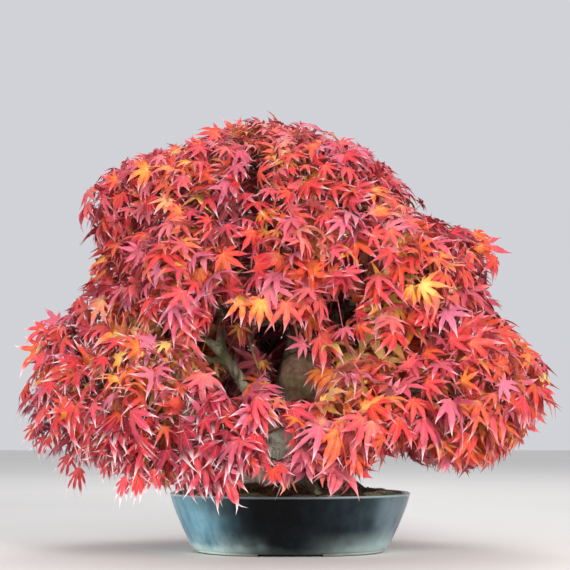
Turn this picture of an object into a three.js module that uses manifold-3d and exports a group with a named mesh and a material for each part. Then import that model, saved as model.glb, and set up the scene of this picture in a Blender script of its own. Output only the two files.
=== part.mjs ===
// A Japanese maple bonsai in autumn leaf: an oval glazed pot on a cut foot, drainage screens, soil, the
// trunk with its surface roots and branches, and the leafy sprays that the branches carry.
// Millimetres, +Z up, with the front of the tree towards -Y. The origin lies under the middle of the crown,
// on the surface that the pot stands on.
import * as THREE from "three";
import { mergeVertices } from "three/addons/utils/BufferGeometryUtils.js";
import Module from "manifold-3d";

const wasm = await Module();
wasm.setup();

// Driving dimensions of the pot and soil
const POT_LENGTH = 232;
const POT_DEPTH = 194;
const POT_HEIGHT = 56;
const OVAL_POWER = 2.25;
const OVAL_SIDES = 32;
const RIM_WIDTH = 6;
const FLOOR_TOP = 10;
const FOOT_HEIGHT = 3;
const DRAIN_RADIUS = 9;
const DRAIN_X = 46;
const SOIL_EDGE = 50;
const SOIL_CROWN = 68;

// Driving dimensions of the leaves, and of each spray's core as shares of the spray's half size
const LEAF_LENGTH = 42;
const LEAF_HALF_THICKNESS = 0.9;
const LEAF_SHARE = 0.93;
const CORE_SHARE = 0.75;
const CORE_HOLLOW = 0.5;
const CORE_SINK = 5;
const POINTED_SHARE = 0.4;

// Clearance between pieces, half the gap between cores, the largest sliver that a join may drop, and how
// near points count as one
const FIT_GAP = 0.35;
const CORE_GAP = 1.2;
const SLIVER = 0.02;
const WELD = 0.001;

// Repeatable draws between 0 and 1
function drawsFrom(seed) {
  let state = seed >>> 0;
  return () => {
    state = (state + 0x6d2b79f5) >>> 0;
    let t = state;
    t = Math.imul(t ^ (t >>> 15), t | 1);
    t ^= t + Math.imul(t ^ (t >>> 7), t | 61);
    return ((t ^ (t >>> 14)) >>> 0) / 4294967296;
  };
}

// Geometry to solid, solid to geometry
function solidFrom(geometry) {
  const bare = new THREE.BufferGeometry();
  bare.setAttribute("position", geometry.getAttribute("position"));
  if (geometry.index) bare.setIndex(geometry.index);
  const merged = mergeVertices(bare, WELD);
  return new wasm.Manifold(
    new wasm.Mesh({
      numProp: 3,
      vertProperties: new Float32Array(merged.attributes.position.array),
      triVerts: new Uint32Array(merged.index.array),
    }),
  );
}

function solidFromLists(positions, indices) {
  const geometry = new THREE.BufferGeometry();
  geometry.setAttribute("position", new THREE.Float32BufferAttribute(positions, 3));
  geometry.setIndex(indices);
  return solidFrom(geometry);
}

function geometryFrom(solid) {
  const { vertProperties, triVerts, numProp, numVert } = solid.getMesh();
  const positions = new Float32Array(numVert * 3);
  for (let i = 0; i < numVert; i++)
    positions.set(vertProperties.subarray(i * numProp, i * numProp + 3), i * 3);
  const geometry = new THREE.BufferGeometry();
  geometry.setAttribute("position", new THREE.BufferAttribute(positions, 3));
  geometry.setIndex(new THREE.BufferAttribute(triVerts, 1));
  geometry.computeVertexNormals();
  return geometry;
}

const union = (solids) => wasm.Manifold.union(solids).simplify(SLIVER);

// The one body that counts when a cut leaves loose scraps
function largestBody(solid) {
  const bodies = solid.decompose();
  bodies.sort((a, b) => b.volume() - a.volume());
  return bodies[0];
}

// A closed stack of oval rings. Each ring is [inset from the rim's outline, height, how much it is bumped].
function ovalSolid(rings, bump = () => 0) {
  const positions = [];
  const indices = [];
  const power = 2 / OVAL_POWER;
  const bend = (v) => Math.sign(v) * Math.abs(v) ** power;
  for (const [inset, z, bumped = 0] of rings)
    for (let k = 0; k < OVAL_SIDES; k++) {
      const angle = (k / OVAL_SIDES) * 2 * Math.PI;
      const x = (POT_LENGTH / 2 - inset) * bend(Math.cos(angle));
      const y = (POT_DEPTH / 2 - inset) * bend(Math.sin(angle));
      positions.push(x, y, z + bumped * bump(x, y));
    }
  const under = rings.length * OVAL_SIDES;
  const over = under + 1;
  positions.push(0, 0, rings[0][1], 0, 0, rings.at(-1)[1]);
  for (let r = 0; r < rings.length - 1; r++)
    for (let k = 0; k < OVAL_SIDES; k++) {
      const next = (k + 1) % OVAL_SIDES;
      const [a, b] = [r * OVAL_SIDES + k, r * OVAL_SIDES + next];
      const [c, d] = [a + OVAL_SIDES, b + OVAL_SIDES];
      indices.push(a, b, d, a, d, c);
    }
  for (let k = 0; k < OVAL_SIDES; k++) {
    const next = (k + 1) % OVAL_SIDES;
    const top = (rings.length - 1) * OVAL_SIDES;
    indices.push(under, next, k, over, top + k, top + next);
  }
  return solidFromLists(positions, indices);
}

function box(width, depth, low, high, x = 0, y = 0) {
  const geometry = new THREE.BoxGeometry(width, depth, high - low);
  return solidFrom(geometry.translate(x, y, (low + high) / 2));
}

function roundPost(radius, low, high, x, y) {
  const geometry = new THREE.CylinderGeometry(radius, radius, high - low, 16);
  return solidFrom(geometry.rotateX(Math.PI / 2).translate(x, y, (low + high) / 2));
}

// Pot: plain tapered wall, rounded at the base, on a low foot cut through at the front, back and ends
const FOOT_OUTER_INSET = 25;
const FOOT_INNER_INSET = 37;
const FOOT_GAP_LENGTH = 60;
const FOOT_GAP_DEPTH = 46;
const FOOT_GAP_TOP = 2.4;
const INNER_WALL = [
  [RIM_WIDTH, POT_HEIGHT - 0.4],
  [RIM_WIDTH + 2.4, 48],
  [RIM_WIDTH + 13, 20],
  [RIM_WIDTH + 21, FLOOR_TOP],
];

function makePot() {
  const body = ovalSolid([
    [FOOT_INNER_INSET, FOOT_HEIGHT],
    [FOOT_INNER_INSET, 0],
    [FOOT_OUTER_INSET, 0],
    [FOOT_OUTER_INSET - 0.8, FOOT_HEIGHT],
    [22, 3.8],
    [19.5, 7],
    [17, 13],
    [8.4, 34.5],
    [0.3, 54.2],
    [0, 55],
    [0.8, POT_HEIGHT],
    ...INNER_WALL,
  ]);
  const across = POT_LENGTH * 2;
  const cuts = [
    box(FOOT_GAP_LENGTH, across, -1, FOOT_GAP_TOP),
    box(across, FOOT_GAP_DEPTH, -1, FOOT_GAP_TOP),
    roundPost(DRAIN_RADIUS, -1, FLOOR_TOP + 2, -DRAIN_X, 0),
    roundPost(DRAIN_RADIUS, -1, FLOOR_TOP + 2, DRAIN_X, 0),
  ];
  return body.subtract(union(cuts));
}

// Drainage screens: a square of crossed bars that lies on the pot's floor over each drain hole
const SCREEN_SIDE = 28;
const SCREEN_BARS = 3;
const SCREEN_BAR_WIDTH = 4;
const SCREEN_LOW = FLOOR_TOP + FIT_GAP;
const SCREEN_HIGH = SCREEN_LOW + 1.2;

function makeScreen(x) {
  const bars = [];
  const pitch = (SCREEN_SIDE - SCREEN_BAR_WIDTH) / (SCREEN_BARS - 1);
  for (let i = 0; i < SCREEN_BARS; i++) {
    const across = -SCREEN_SIDE / 2 + SCREEN_BAR_WIDTH / 2 + i * pitch;
    bars.push(box(SCREEN_BAR_WIDTH, SCREEN_SIDE, SCREEN_LOW, SCREEN_HIGH, x + across, 0));
    bars.push(box(SCREEN_SIDE, SCREEN_BAR_WIDTH, SCREEN_LOW, SCREEN_HIGH, x, across));
  }
  return union(bars);
}

// Limbs: [x, y, z, radius] along each one, from where it leaves its parent to its end
const LIMBS = {
  trunk: [
    [4, 6, 48, 36],
    [3, 5, 72, 32],
    [5, 4, 105, 28],
    [9, 2, 140, 26],
    [11, 2, 168, 24.5],
    [10, 5, 188, 17],
    [7, 6, 204, 10.5],
    [4, 6, 220, 8],
  ],
  apex_leader: [
    [8, 6, 192, 11],
    [-2, 5, 238, 7.6],
    [-16, 0, 280, 6.8],
    [-30, 2, 318, 5.8],
    [-30, 4, 350, 4.6],
  ],
  right_leader: [
    [16, 2, 178, 12],
    [36, -6, 212, 7.8],
    [60, -8, 240, 6.6],
    [78, 0, 268, 5.8],
    [92, -4, 304, 4.6],
  ],
  back_leader: [
    [4, 8, 182, 12],
    [8, 34, 222, 8.6],
    [2, 56, 255, 7],
    [6, 72, 292, 5.4],
  ],
  left_front: [
    [-10, -8, 108, 9],
    [-30, -32, 138, 6.6],
    [-45, -44, 160, 5.8],
    [-57, -48, 178, 5.3],
    [-70, -52, 194, 4.8],
  ],
  left_fork: [
    [-61, -49, 184, 4.6],
    [-66, -50, 204, 3.8],
    [-63, -52, 226, 3.2],
  ],
  right_low: [
    [18, 0, 124, 10],
    [55, 6, 142, 7.4],
    [95, -4, 156, 6.2],
    [135, 6, 158, 4.8],
  ],
  left_low: [
    [-12, 4, 114, 9.5],
    [-52, 16, 132, 7.2],
    [-92, 6, 140, 6],
    [-132, -2, 144, 4.6],
  ],
  front_low: [
    [8, -12, 92, 8.5],
    [17, -44, 103, 6.4],
    [12, -74, 104, 5],
  ],
  back_low: [
    [0, 20, 112, 9.5],
    [-8, 54, 126, 6.8],
    [4, 84, 128, 5],
  ],
};
const ROOT_COUNT = 8;
const ROOT_REACH = 46;
const ROOT_SQUASH = 0.9;

// How many sides a limb has from which starting radius on, and how far apart its rings stand
const SIDES_BY_RADIUS = [
  [16, 12],
  [11, 7],
  [7, 6],
  [4.5, 5],
  [0, 4],
];
const LIMB_STEP = 27;
const STEM_STEP = 55;

function curveOf(points) {
  return new THREE.CatmullRomCurve3(
    points.map(([x, y, z]) => new THREE.Vector3(x, y, z)),
    false,
    "centripetal",
  );
}

// A tapering limb with closed ends, its section ribbed by flute. grown thickens it all over.
function limbSolid(points, { grown = 0, flute = 0, step = LIMB_STEP } = {}) {
  const curve = curveOf(points);
  const steps = Math.ceil(curve.getLength() / step);
  const sides = SIDES_BY_RADIUS.find(([radius]) => points[0][3] >= radius)[1];
  const frames = curve.computeFrenetFrames(steps, false);
  const positions = [];
  const indices = [];
  for (let i = 0; i <= steps; i++) {
    const share = curve.getUtoTmapping(i / steps) * (points.length - 1);
    const span = Math.min(Math.floor(share), points.length - 2);
    const radius = THREE.MathUtils.lerp(points[span][3], points[span + 1][3], share - span) + grown;
    const centre = curve.getPointAt(i / steps);
    for (let k = 0; k < sides; k++) {
      const angle = (k / sides) * 2 * Math.PI;
      const ribbed = radius * (1 + flute * Math.sin(3 * angle + 0.35 * i) * (1 - i / steps / 2));
      const p = centre
        .clone()
        .addScaledVector(frames.normals[i], ribbed * Math.cos(angle))
        .addScaledVector(frames.binormals[i], ribbed * Math.sin(angle));
      positions.push(p.x, p.y, p.z);
    }
  }
  for (const [at, way] of [
    [0, -1],
    [steps, 1],
  ]) {
    const radius = points[at === 0 ? 0 : points.length - 1][3];
    const p = curve.getPointAt(at / steps).addScaledVector(frames.tangents[at], way * (grown + radius / 3));
    positions.push(p.x, p.y, p.z);
  }
  const first = (steps + 1) * sides;
  for (let k = 0; k < sides; k++) {
    const next = (k + 1) % sides;
    for (let i = 0; i < steps; i++) {
      const [a, b] = [i * sides + k, i * sides + next];
      indices.push(a, b, b + sides, a, b + sides, a + sides);
    }
    indices.push(first, next, k, first + 1, steps * sides + k, steps * sides + next);
  }
  return solidFromLists(positions, indices);
}

// Surface roots that leave the trunk's base all round and dive into the soil
function rootPaths() {
  const draw = drawsFrom(11);
  const [middleX, middleY] = LIMBS.trunk[0];
  const paths = [];
  for (let i = 0; i < ROOT_COUNT; i++) {
    const angle = ((i + 0.5 * draw()) / ROOT_COUNT) * 2 * Math.PI;
    const reach = ROOT_REACH * (0.8 + 0.45 * draw());
    const thick = 8.5 + 3.5 * draw();
    const at = (share, turn, z, radius) => [
      middleX + Math.cos(angle + turn) * reach * share,
      middleY + Math.sin(angle + turn) * reach * share * ROOT_SQUASH,
      z,
      radius,
    ];
    const turn = 0.3 * (draw() - 0.5);
    paths.push([
      at(0.38, 0, 88, thick),
      at(0.78, turn / 2, 70, thick * 0.85),
      at(1.15, turn, 64.5, thick * 0.6),
      at(1.5, turn * 1.6, 56, thick * 0.3),
    ]);
  }
  return paths;
}

// Sprays: name, centre, half of its size with the leaves, leaves, colour, the limb it leaves and how far
// along that limb. They are listed from the crown down, the outer ones first.
const SPRAYS = [
  ["spray_crown_apex", [-22, 0, 373], [80, 74, 45], 14, "scarlet", "apex_leader", 1],
  ["spray_crown_left", [-136, 4, 340], [64, 66, 48], 11, "crimson", "apex_leader", 0.62],
  ["spray_crown_front_left", [-80, -80, 336], [64, 60, 48], 11, "crimson", "apex_leader", 0.78],
  ["spray_crown_front_right", [22, -90, 340], [64, 60, 50], 11, "scarlet", "apex_leader", 0.5],
  ["spray_crown_right", [60, -8, 338], [60, 64, 46], 11, "scarlet", "right_leader", 1],
  ["spray_crown_back_right", [36, 85, 339], [68, 62, 50], 11, "scarlet", "back_leader", 1],
  ["spray_crown_back_left", [-74, 86, 338], [70, 62, 50], 10, "crimson", "back_leader", 0.8],
  ["spray_mid_right", [138, -4, 260], [62, 66, 62], 11, "scarlet", "right_leader", 0.66],
  ["spray_mid_front_right", [100, -106, 254], [68, 60, 60], 11, "scarlet", "right_leader", 0.42],
  ["spray_mid_front", [14, -130, 268], [62, 56, 48], 11, "scarlet", "apex_leader", 0.24],
  ["spray_mid_front_left", [-86, -114, 258], [64, 58, 52], 11, "crimson", "left_fork", 1],
  ["spray_mid_left", [-136, -24, 250], [57, 66, 60], 11, "crimson", "left_front", 0.94],
  ["spray_mid_back_left", [-106, 90, 258], [72, 66, 58], 10, "crimson", "back_leader", 0.4],
  ["spray_mid_back", [-2, 132, 256], [68, 58, 58], 10, "scarlet", "back_leader", 0.55],
  ["spray_mid_back_right", [100, 94, 258], [70, 64, 58], 10, "scarlet", "back_leader", 0.3],
  ["spray_low_right", [190, 2, 160], [70, 70, 66], 11, "scarlet", "right_low", 1],
  ["spray_low_front_right", [146, -98, 146], [66, 62, 66], 12, "scarlet", "right_low", 0.55],
  ["spray_low_front", [62, -134, 118], [62, 55, 56], 11, "scarlet", "front_low", 1],
  ["spray_low_front_middle", [-38, -136, 110], [62, 53, 50], 11, "crimson", "front_low", 0.7],
  ["spray_low_front_left", [-128, -110, 138], [66, 61, 65], 12, "crimson", "left_low", 0.4],
  ["spray_low_left", [-190, -14, 158], [70, 72, 76], 11, "crimson", "left_low", 1],
  ["spray_low_back_left", [-148, 92, 148], [72, 66, 68], 10, "crimson", "left_low", 0.62],
  ["spray_low_back_middle", [-58, 134, 142], [68, 60, 64], 10, "scarlet", "back_low", 0.95],
  ["spray_low_back", [48, 136, 142], [66, 59, 64], 10, "scarlet", "back_low", 0.8],
  ["spray_low_back_right", [140, 98, 148], [72, 66, 68], 10, "scarlet", "right_low", 0.4],
  ["spray_inner_left", [-122, -70, 200], [56, 54, 44], 6, "orange", "left_front", 0.8],
  ["spray_inner_right", [92, -84, 190], [56, 50, 44], 6, "orange", "right_leader", 0.2],
  ["spray_inner_back", [-26, 84, 196], [56, 44, 40], 5, "orange", "back_low", 0.35],
  ["spray_inner_front", [-44, -78, 226], [42, 36, 30], 4, "orange", "apex_leader", 0.12],
];
const STEM_RADIUS = 3.6;
const STEM_TIP_RADIUS = 2.4;
const STEM_KINK = 13;
const STEM_END_DROP = 0.16;

// The branch from a limb into the middle of a spray, with the small kinks of a trained maple
function stemPath(spray, index) {
  const [, centre, half, , , limb, share] = spray;
  const draw = drawsFrom(500 + index);
  const start = curveOf(LIMBS[limb]).getPoint(share);
  const end = new THREE.Vector3(...centre).add(new THREE.Vector3(0, 0, -STEM_END_DROP * half[2]));
  const kink = () => new THREE.Vector3(draw() - 0.5, draw() - 0.5, draw() - 0.35).multiplyScalar(STEM_KINK);
  const row = (p, radius) => [p.x, p.y, p.z, radius];
  return [
    row(start, STEM_RADIUS + 0.6),
    row(start.clone().lerp(end, 0.35).add(kink()), STEM_RADIUS),
    row(start.clone().lerp(end, 0.7).add(kink()), (STEM_RADIUS + STEM_TIP_RADIUS) / 2),
    row(end, STEM_TIP_RADIUS),
  ];
}

// A healed pruning cut at the top of the trunk's front: a rounded callus with a dished face
const SCAR = { x: 13, y: -13, z: 168, width: 25, depth: 15, height: 25 };

function ellipsoid(centre, half) {
  const geometry = new THREE.OctahedronGeometry(1, 2);
  return solidFrom(geometry.scale(...half).translate(...centre));
}

function makeWood(grown = 0) {
  const solids = Object.entries(LIMBS).map(([name, points]) =>
    limbSolid(points, { grown, flute: name === "trunk" ? 0.07 : 0 }),
  );
  for (const path of rootPaths()) solids.push(limbSolid(path, { grown }));
  SPRAYS.forEach((spray, i) => solids.push(limbSolid(stemPath(spray, i), { grown, step: STEM_STEP })));
  const { x, y, z, width, depth, height } = SCAR;
  solids.push(ellipsoid([x, y, z], [width + grown, depth + grown, height + grown]));
  const wood = union(solids);
  const dish = ellipsoid([x, y - depth * 1.25, z], [width * 0.72, depth * 0.5, height * 0.74]);
  return wood.subtract(dish);
}

// Soil: fills the pot to just under its rim and rises to the trunk, with holes for the roots
function makeSoil(grownWood) {
  const bump = (x, y) => Math.sin(x * 0.11 + 1) * Math.cos(y * 0.13) + 0.6 * Math.sin(x * 0.05 - y * 0.21);
  const wall = INNER_WALL.slice(1, 3).map(([inset, z]) => [inset + FIT_GAP, z]);
  const soil = ovalSolid(
    [
      [INNER_WALL[3][0], SCREEN_HIGH + FIT_GAP],
      ...wall.reverse(),
      [RIM_WIDTH + 5, SOIL_EDGE, 0.4],
      [RIM_WIDTH + 24, SOIL_EDGE + 7, 1.2],
      [RIM_WIDTH + 54, SOIL_CROWN, 0.6],
    ],
    bump,
  );
  return soil.subtract(grownWood);
}

// A maple leaf as one thin lens: five long pointed lobes and, pointing back, its stalk.
// Each row is [angle from the middle lobe in degrees, share of the leaf's length, droop].
const LEAF_OUTLINE = [
  [0, 1, 1],
  [22, 0.38, 0.2],
  [45, 0.93, 0.95],
  [68, 0.36, 0.2],
  [93, 0.74, 0.75],
  [142, 0.22, 0.1],
];

// The leaf's middle is at centre, its middle lobe runs along ahead, its upper face looks along up, and its
// stalk ends at root. droop lowers the tips.
function leafSolid({ centre, ahead, up, root, length, droop }) {
  const side = new THREE.Vector3().crossVectors(up, ahead);
  const at = ([degrees, share, down], hand) => {
    const angle = THREE.MathUtils.degToRad(degrees) * hand;
    return centre
      .clone()
      .addScaledVector(ahead, Math.cos(angle) * share * length)
      .addScaledVector(side, Math.sin(angle) * share * length)
      .addScaledVector(up, -droop * down * length);
  };
  const left = LEAF_OUTLINE.map((row) => at(row, 1));
  const right = LEAF_OUTLINE.slice(1).map((row) => at(row, -1));
  const outline = [...left, root, ...right.reverse()];
  const top = centre.clone().addScaledVector(up, LEAF_HALF_THICKNESS);
  const bottom = centre.clone().addScaledVector(up, -LEAF_HALF_THICKNESS);
  const positions = [top, bottom, ...outline].flatMap((p) => p.toArray());
  const indices = [];
  for (let i = 0; i < outline.length; i++) {
    const a = 2 + i;
    const b = 2 + ((i + 1) % outline.length);
    indices.push(0, a, b, 1, b, a);
  }
  return solidFromLists(positions, indices);
}

// Directions that spread evenly over the side of a spray that its axis points to
const CAP_EDGE = -0.3;

function leafDirections(count, axis) {
  const golden = Math.PI * (3 - Math.sqrt(5));
  const turn = new THREE.Quaternion().setFromUnitVectors(new THREE.Vector3(0, 0, 1), axis);
  const directions = [];
  for (let i = 0; i < count; i++) {
    const z = 1 - ((1 - CAP_EDGE) * (i + 0.5)) / count;
    const ring = Math.sqrt(1 - z * z);
    const direction = new THREE.Vector3(ring * Math.cos(golden * i), ring * Math.sin(golden * i), z);
    directions.push(direction.applyQuaternion(turn));
  }
  return directions;
}

const overlapsBox = (a, b, margin) =>
  [0, 1, 2].every((k) => a.min[k] - margin < b.max[k] && b.min[k] - margin < a.max[k]);

// True if the solid keeps FIT_GAP to every obstacle
function isClear(solid, obstacles) {
  const bounds = solid.boundingBox();
  return obstacles.every(
    (other) =>
      !overlapsBox(bounds, other.bounds, FIT_GAP) || solid.minGap(other.solid, FIT_GAP * 2) >= FIT_GAP,
  );
}

const asObstacle = (solid) => ({ solid, bounds: solid.boundingBox() });
// How often a leaf is tried, and how far it is lifted off the spray at its tip
const LEAF_TRIES = 20;
const SHINGLE = 0.3;
const DOWN = new THREE.Vector3(0, 0, -1);

// One leaf of a spray: it hangs down and out over the core that its stalk is sunk in, and tries other
// twists until it is clear of everything else
function placeLeaf(direction, { centre, half, draw, core, obstacles, leaves }) {
  const scaled = (d, share) => centre.clone().add(d.clone().multiply(half).multiplyScalar(share));
  let spare = null;
  for (let attempt = 0; attempt < LEAF_TRIES; attempt++) {
    const loose = 0.12 + 0.02 * attempt;
    const jitter = () => new THREE.Vector3(draw() - 0.5, draw() - 0.5, draw() - 0.5);
    const d = direction.clone().addScaledVector(jitter(), loose).normalize();
    const outward = d.clone().divide(half).normalize();
    const leafCentre = scaled(d, LEAF_SHARE - 0.02 * (attempt % 4));
    const radial = new THREE.Vector3(leafCentre.x, leafCentre.y, 0).normalize();
    const fall = DOWN.clone().addScaledVector(radial, 0.9).addScaledVector(d, 0.6);
    const ahead = fall.addScaledVector(outward, -fall.dot(outward)).addScaledVector(jitter(), 0.5 + loose);
    ahead.addScaledVector(outward, SHINGLE * ahead.length()).normalize();
    const up = outward.addScaledVector(ahead, -outward.dot(ahead)).normalize();
    const rootDirection = d.clone().addScaledVector(ahead, -0.16).normalize();
    const leaf = leafSolid({
      centre: leafCentre,
      ahead,
      up,
      root: scaled(rootDirection, CORE_HOLLOW * 0.85),
      length: LEAF_LENGTH * (0.88 + 0.24 * draw()),
      droop: 0.06 + 0.14 * draw(),
    });
    if (leaf.minGap(core, 0.1) > 0 || !isClear(leaf, obstacles)) continue;
    const touched = leaves.filter((other) => leaf.minGap(other, 0.1) === 0).length;
    if (touched === 0) return leaf;
    if (!spare || touched < spare.touched) spare = { leaf, touched };
  }
  return spare?.leaf ?? null;
}

// A ball of points and hollows between 0 and 1 across
function roughBall(detail, draw) {
  const geometry = new THREE.OctahedronGeometry(1, detail);
  geometry.deleteAttribute("uv");
  geometry.deleteAttribute("normal");
  const ball = mergeVertices(geometry, WELD);
  const points = ball.attributes.position;
  const at = new THREE.Vector3();
  for (let i = 0; i < points.count; i++) {
    const reach = draw() < POINTED_SHARE ? CORE_SHARE * (1 + 0.2 * draw()) : CORE_HOLLOW * (1 + 0.3 * draw());
    at.fromBufferAttribute(points, i).multiplyScalar(reach);
    points.setXYZ(i, at.x, at.y, at.z);
  }
  return ball;
}

// A spray's core of packed inner leaves and twigs, rough all over and cut back from the cores beside it.
// An inner spray's core is a plainer one.
function makeCore(index, grownWood) {
  const [name, centre, half] = SPRAYS[index];
  const draw = drawsFrom(300 + index);
  const size = half.reduce((sum, h) => sum + h, 0);
  const ball = roughBall(name.includes("inner") ? 1 : 2, draw);
  const [x, y, z] = centre;
  let core = solidFrom(ball.scale(...half).translate(x, y, z - CORE_SINK));
  SPRAYS.forEach(([, otherCentre, otherHalf], other) => {
    if (other === index) return;
    const otherSize = otherHalf.reduce((sum, h) => sum + h, 0);
    const to = new THREE.Vector3(...otherCentre).sub(new THREE.Vector3(...centre));
    const share = size / (size + otherSize);
    const normal = to.clone().normalize().negate();
    const edge = new THREE.Vector3(...centre).addScaledVector(to, share).addScaledVector(normal, CORE_GAP);
    core = core.trimByPlane(normal.toArray(), edge.dot(normal));
  });
  return largestBody(core.subtract(grownWood));
}

function makeSprays(grownWood, fixed) {
  const cores = SPRAYS.map((_, index) => makeCore(index, grownWood));
  const always = fixed.map(asObstacle);
  const taken = cores.map((core) => [asObstacle(core)]);
  return SPRAYS.map(([name, centreRow, halfRow, count, colour], index) => {
    const centre = new THREE.Vector3(...centreRow);
    const half = new THREE.Vector3(...halfRow);
    const draw = drawsFrom(900 + index);
    const axis = new THREE.Vector3(centre.x / 200, centre.y / 160, (centre.z - 60) / 260).normalize();
    const obstacles = [...always, ...taken.filter((_, i) => i !== index).flat()];
    const leaves = [];
    for (const direction of leafDirections(count, axis)) {
      const leaf = placeLeaf(direction, { centre, half, draw, core: cores[index], obstacles, leaves });
      if (leaf) leaves.push(leaf);
    }
    taken[index].push(...leaves.map(asObstacle));
    const joined = largestBody(union([cores[index], ...leaves]));
    // A leaf that hangs on by a bare corner comes off once near points are one, so the body is picked again
    const solid = largestBody(solidFrom(geometryFrom(joined)));
    return { name, colour, solid };
  });
}

// Finishes
const finish = (colour, roughness, metalness = 0) =>
  new THREE.MeshStandardMaterial({ color: colour, roughness, metalness });
const FINISHES = {
  glaze: finish(0x33434d, 0.25),
  screen: finish(0x1c1c1a, 0.6),
  soil: finish(0x2e2419, 0.95),
  bark: finish(0x6f6a58, 0.85),
  leaf_scarlet: finish(0xd24a4e, 0.55),
  leaf_crimson: finish(0xb8324a, 0.55),
  leaf_orange: finish(0xe0702c, 0.55),
};

const tree = new THREE.Group();

function add(name, solid, colour) {
  const mesh = new THREE.Mesh(geometryFrom(solid), FINISHES[colour]);
  mesh.name = name;
  tree.add(mesh);
}

const wood = makeWood();
const grownWood = makeWood(FIT_GAP);
const pot = makePot();
const soil = largestBody(makeSoil(grownWood));
add("pot", pot, "glaze");
add("drain_screen_left", makeScreen(-DRAIN_X), "screen");
add("drain_screen_right", makeScreen(DRAIN_X), "screen");
add("soil", soil, "soil");
add("trunk_and_branches", wood, "bark");
for (const { name, solid, colour } of makeSprays(grownWood, [wood, pot, soil])) {
  add(name, solid, `leaf_${colour}`);
}

export default tree;
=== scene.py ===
# The looks of a Japanese maple bonsai in autumn leaf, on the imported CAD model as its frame.
# Lengths are millimetres in the tables and metres in Blender. The front of the tree is towards -Y.
import math

import bmesh
import bpy
import numpy as np
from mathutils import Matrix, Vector, noise


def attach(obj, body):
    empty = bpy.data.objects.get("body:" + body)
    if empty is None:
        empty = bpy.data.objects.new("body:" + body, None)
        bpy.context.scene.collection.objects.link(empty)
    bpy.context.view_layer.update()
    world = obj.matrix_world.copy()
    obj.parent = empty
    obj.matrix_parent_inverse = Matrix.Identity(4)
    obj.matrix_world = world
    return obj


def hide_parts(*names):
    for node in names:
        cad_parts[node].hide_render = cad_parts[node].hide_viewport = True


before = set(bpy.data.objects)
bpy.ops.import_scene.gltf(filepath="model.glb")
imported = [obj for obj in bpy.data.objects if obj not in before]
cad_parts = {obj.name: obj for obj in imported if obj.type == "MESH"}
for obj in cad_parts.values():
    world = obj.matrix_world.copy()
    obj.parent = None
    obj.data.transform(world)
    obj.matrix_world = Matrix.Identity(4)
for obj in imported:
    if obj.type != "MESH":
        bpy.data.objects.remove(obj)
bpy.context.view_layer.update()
MM = 0.001

# Camera, solved from the pot's rim and foot in the photograph
CAMERA_DISTANCE = 1370
CAMERA_X = -4.9
CAMERA_Z = 118
CAMERA_PITCH = 5.82
CAMERA_LENS = 88.4

# Pot and soil, as in the CAD
POT_LENGTH = 232
POT_DEPTH = 194
OVAL_POWER = 2.25
RIM_WIDTH = 6
FLOOR_TOP = 10
FOOT_HEIGHT = 3
FOOT_OUTER_INSET = 25
FOOT_INNER_INSET = 37
FOOT_GAP_LENGTH = 60
FOOT_GAP_DEPTH = 46
FOOT_GAP_TOP = 2.4
DRAIN_RADIUS = 9
DRAIN_X = 46
SOIL_EDGE = 50
SOIL_CROWN = 68

# Limbs: [x, y, z, radius] along each one, as in the CAD
LIMBS = {
    "trunk": [
        (4, 6, 48, 36), (3, 5, 72, 32), (5, 4, 105, 28), (9, 2, 140, 26), (11, 2, 168, 24.5),
        (10, 5, 188, 17), (7, 6, 204, 10.5), (4, 6, 220, 8),
    ],
    "apex_leader": [
        (8, 6, 192, 11), (-2, 5, 238, 7.6), (-16, 0, 280, 6.8), (-30, 2, 318, 5.8), (-30, 4, 350, 4.6),
    ],
    "right_leader": [
        (16, 2, 178, 12), (36, -6, 212, 7.8), (60, -8, 240, 6.6), (78, 0, 268, 5.8), (92, -4, 304, 4.6),
    ],
    "back_leader": [
        (4, 8, 182, 12), (8, 34, 222, 8.6), (2, 56, 255, 7), (6, 72, 292, 5.4),
    ],
    "left_front": [
        (-10, -8, 108, 9), (-30, -32, 138, 6.6), (-45, -44, 160, 5.8), (-57, -48, 178, 5.3),
        (-70, -52, 194, 4.8),
    ],
    "left_fork": [
        (-61, -49, 184, 4.6), (-66, -50, 204, 3.8), (-63, -52, 226, 3.2),
    ],
    "right_low": [
        (18, 0, 124, 10), (55, 6, 142, 7.4), (95, -4, 156, 6.2), (135, 6, 158, 4.8),
    ],
    "left_low": [
        (-12, 4, 114, 9.5), (-52, 16, 132, 7.2), (-92, 6, 140, 6), (-132, -2, 144, 4.6),
    ],
    "front_low": [
        (8, -12, 92, 8.5), (17, -44, 103, 6.4), (12, -74, 104, 5),
    ],
    "back_low": [
        (0, 20, 112, 9.5), (-8, 54, 126, 6.8), (4, 84, 128, 5),
    ],
}
ROOT_COUNT = 8
ROOT_REACH = 46
ROOT_SQUASH = 0.9
SCAR = {"x": 13, "y": -13, "z": 168, "width": 25, "depth": 15, "height": 25}
# The healed part's colour reaches past the scar by this share, and this deep. Its carving is shallower.
HEALED_SPREAD = 1.12
HEALED_DEPTH = 16
CARVED_DEPTH = 14

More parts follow.
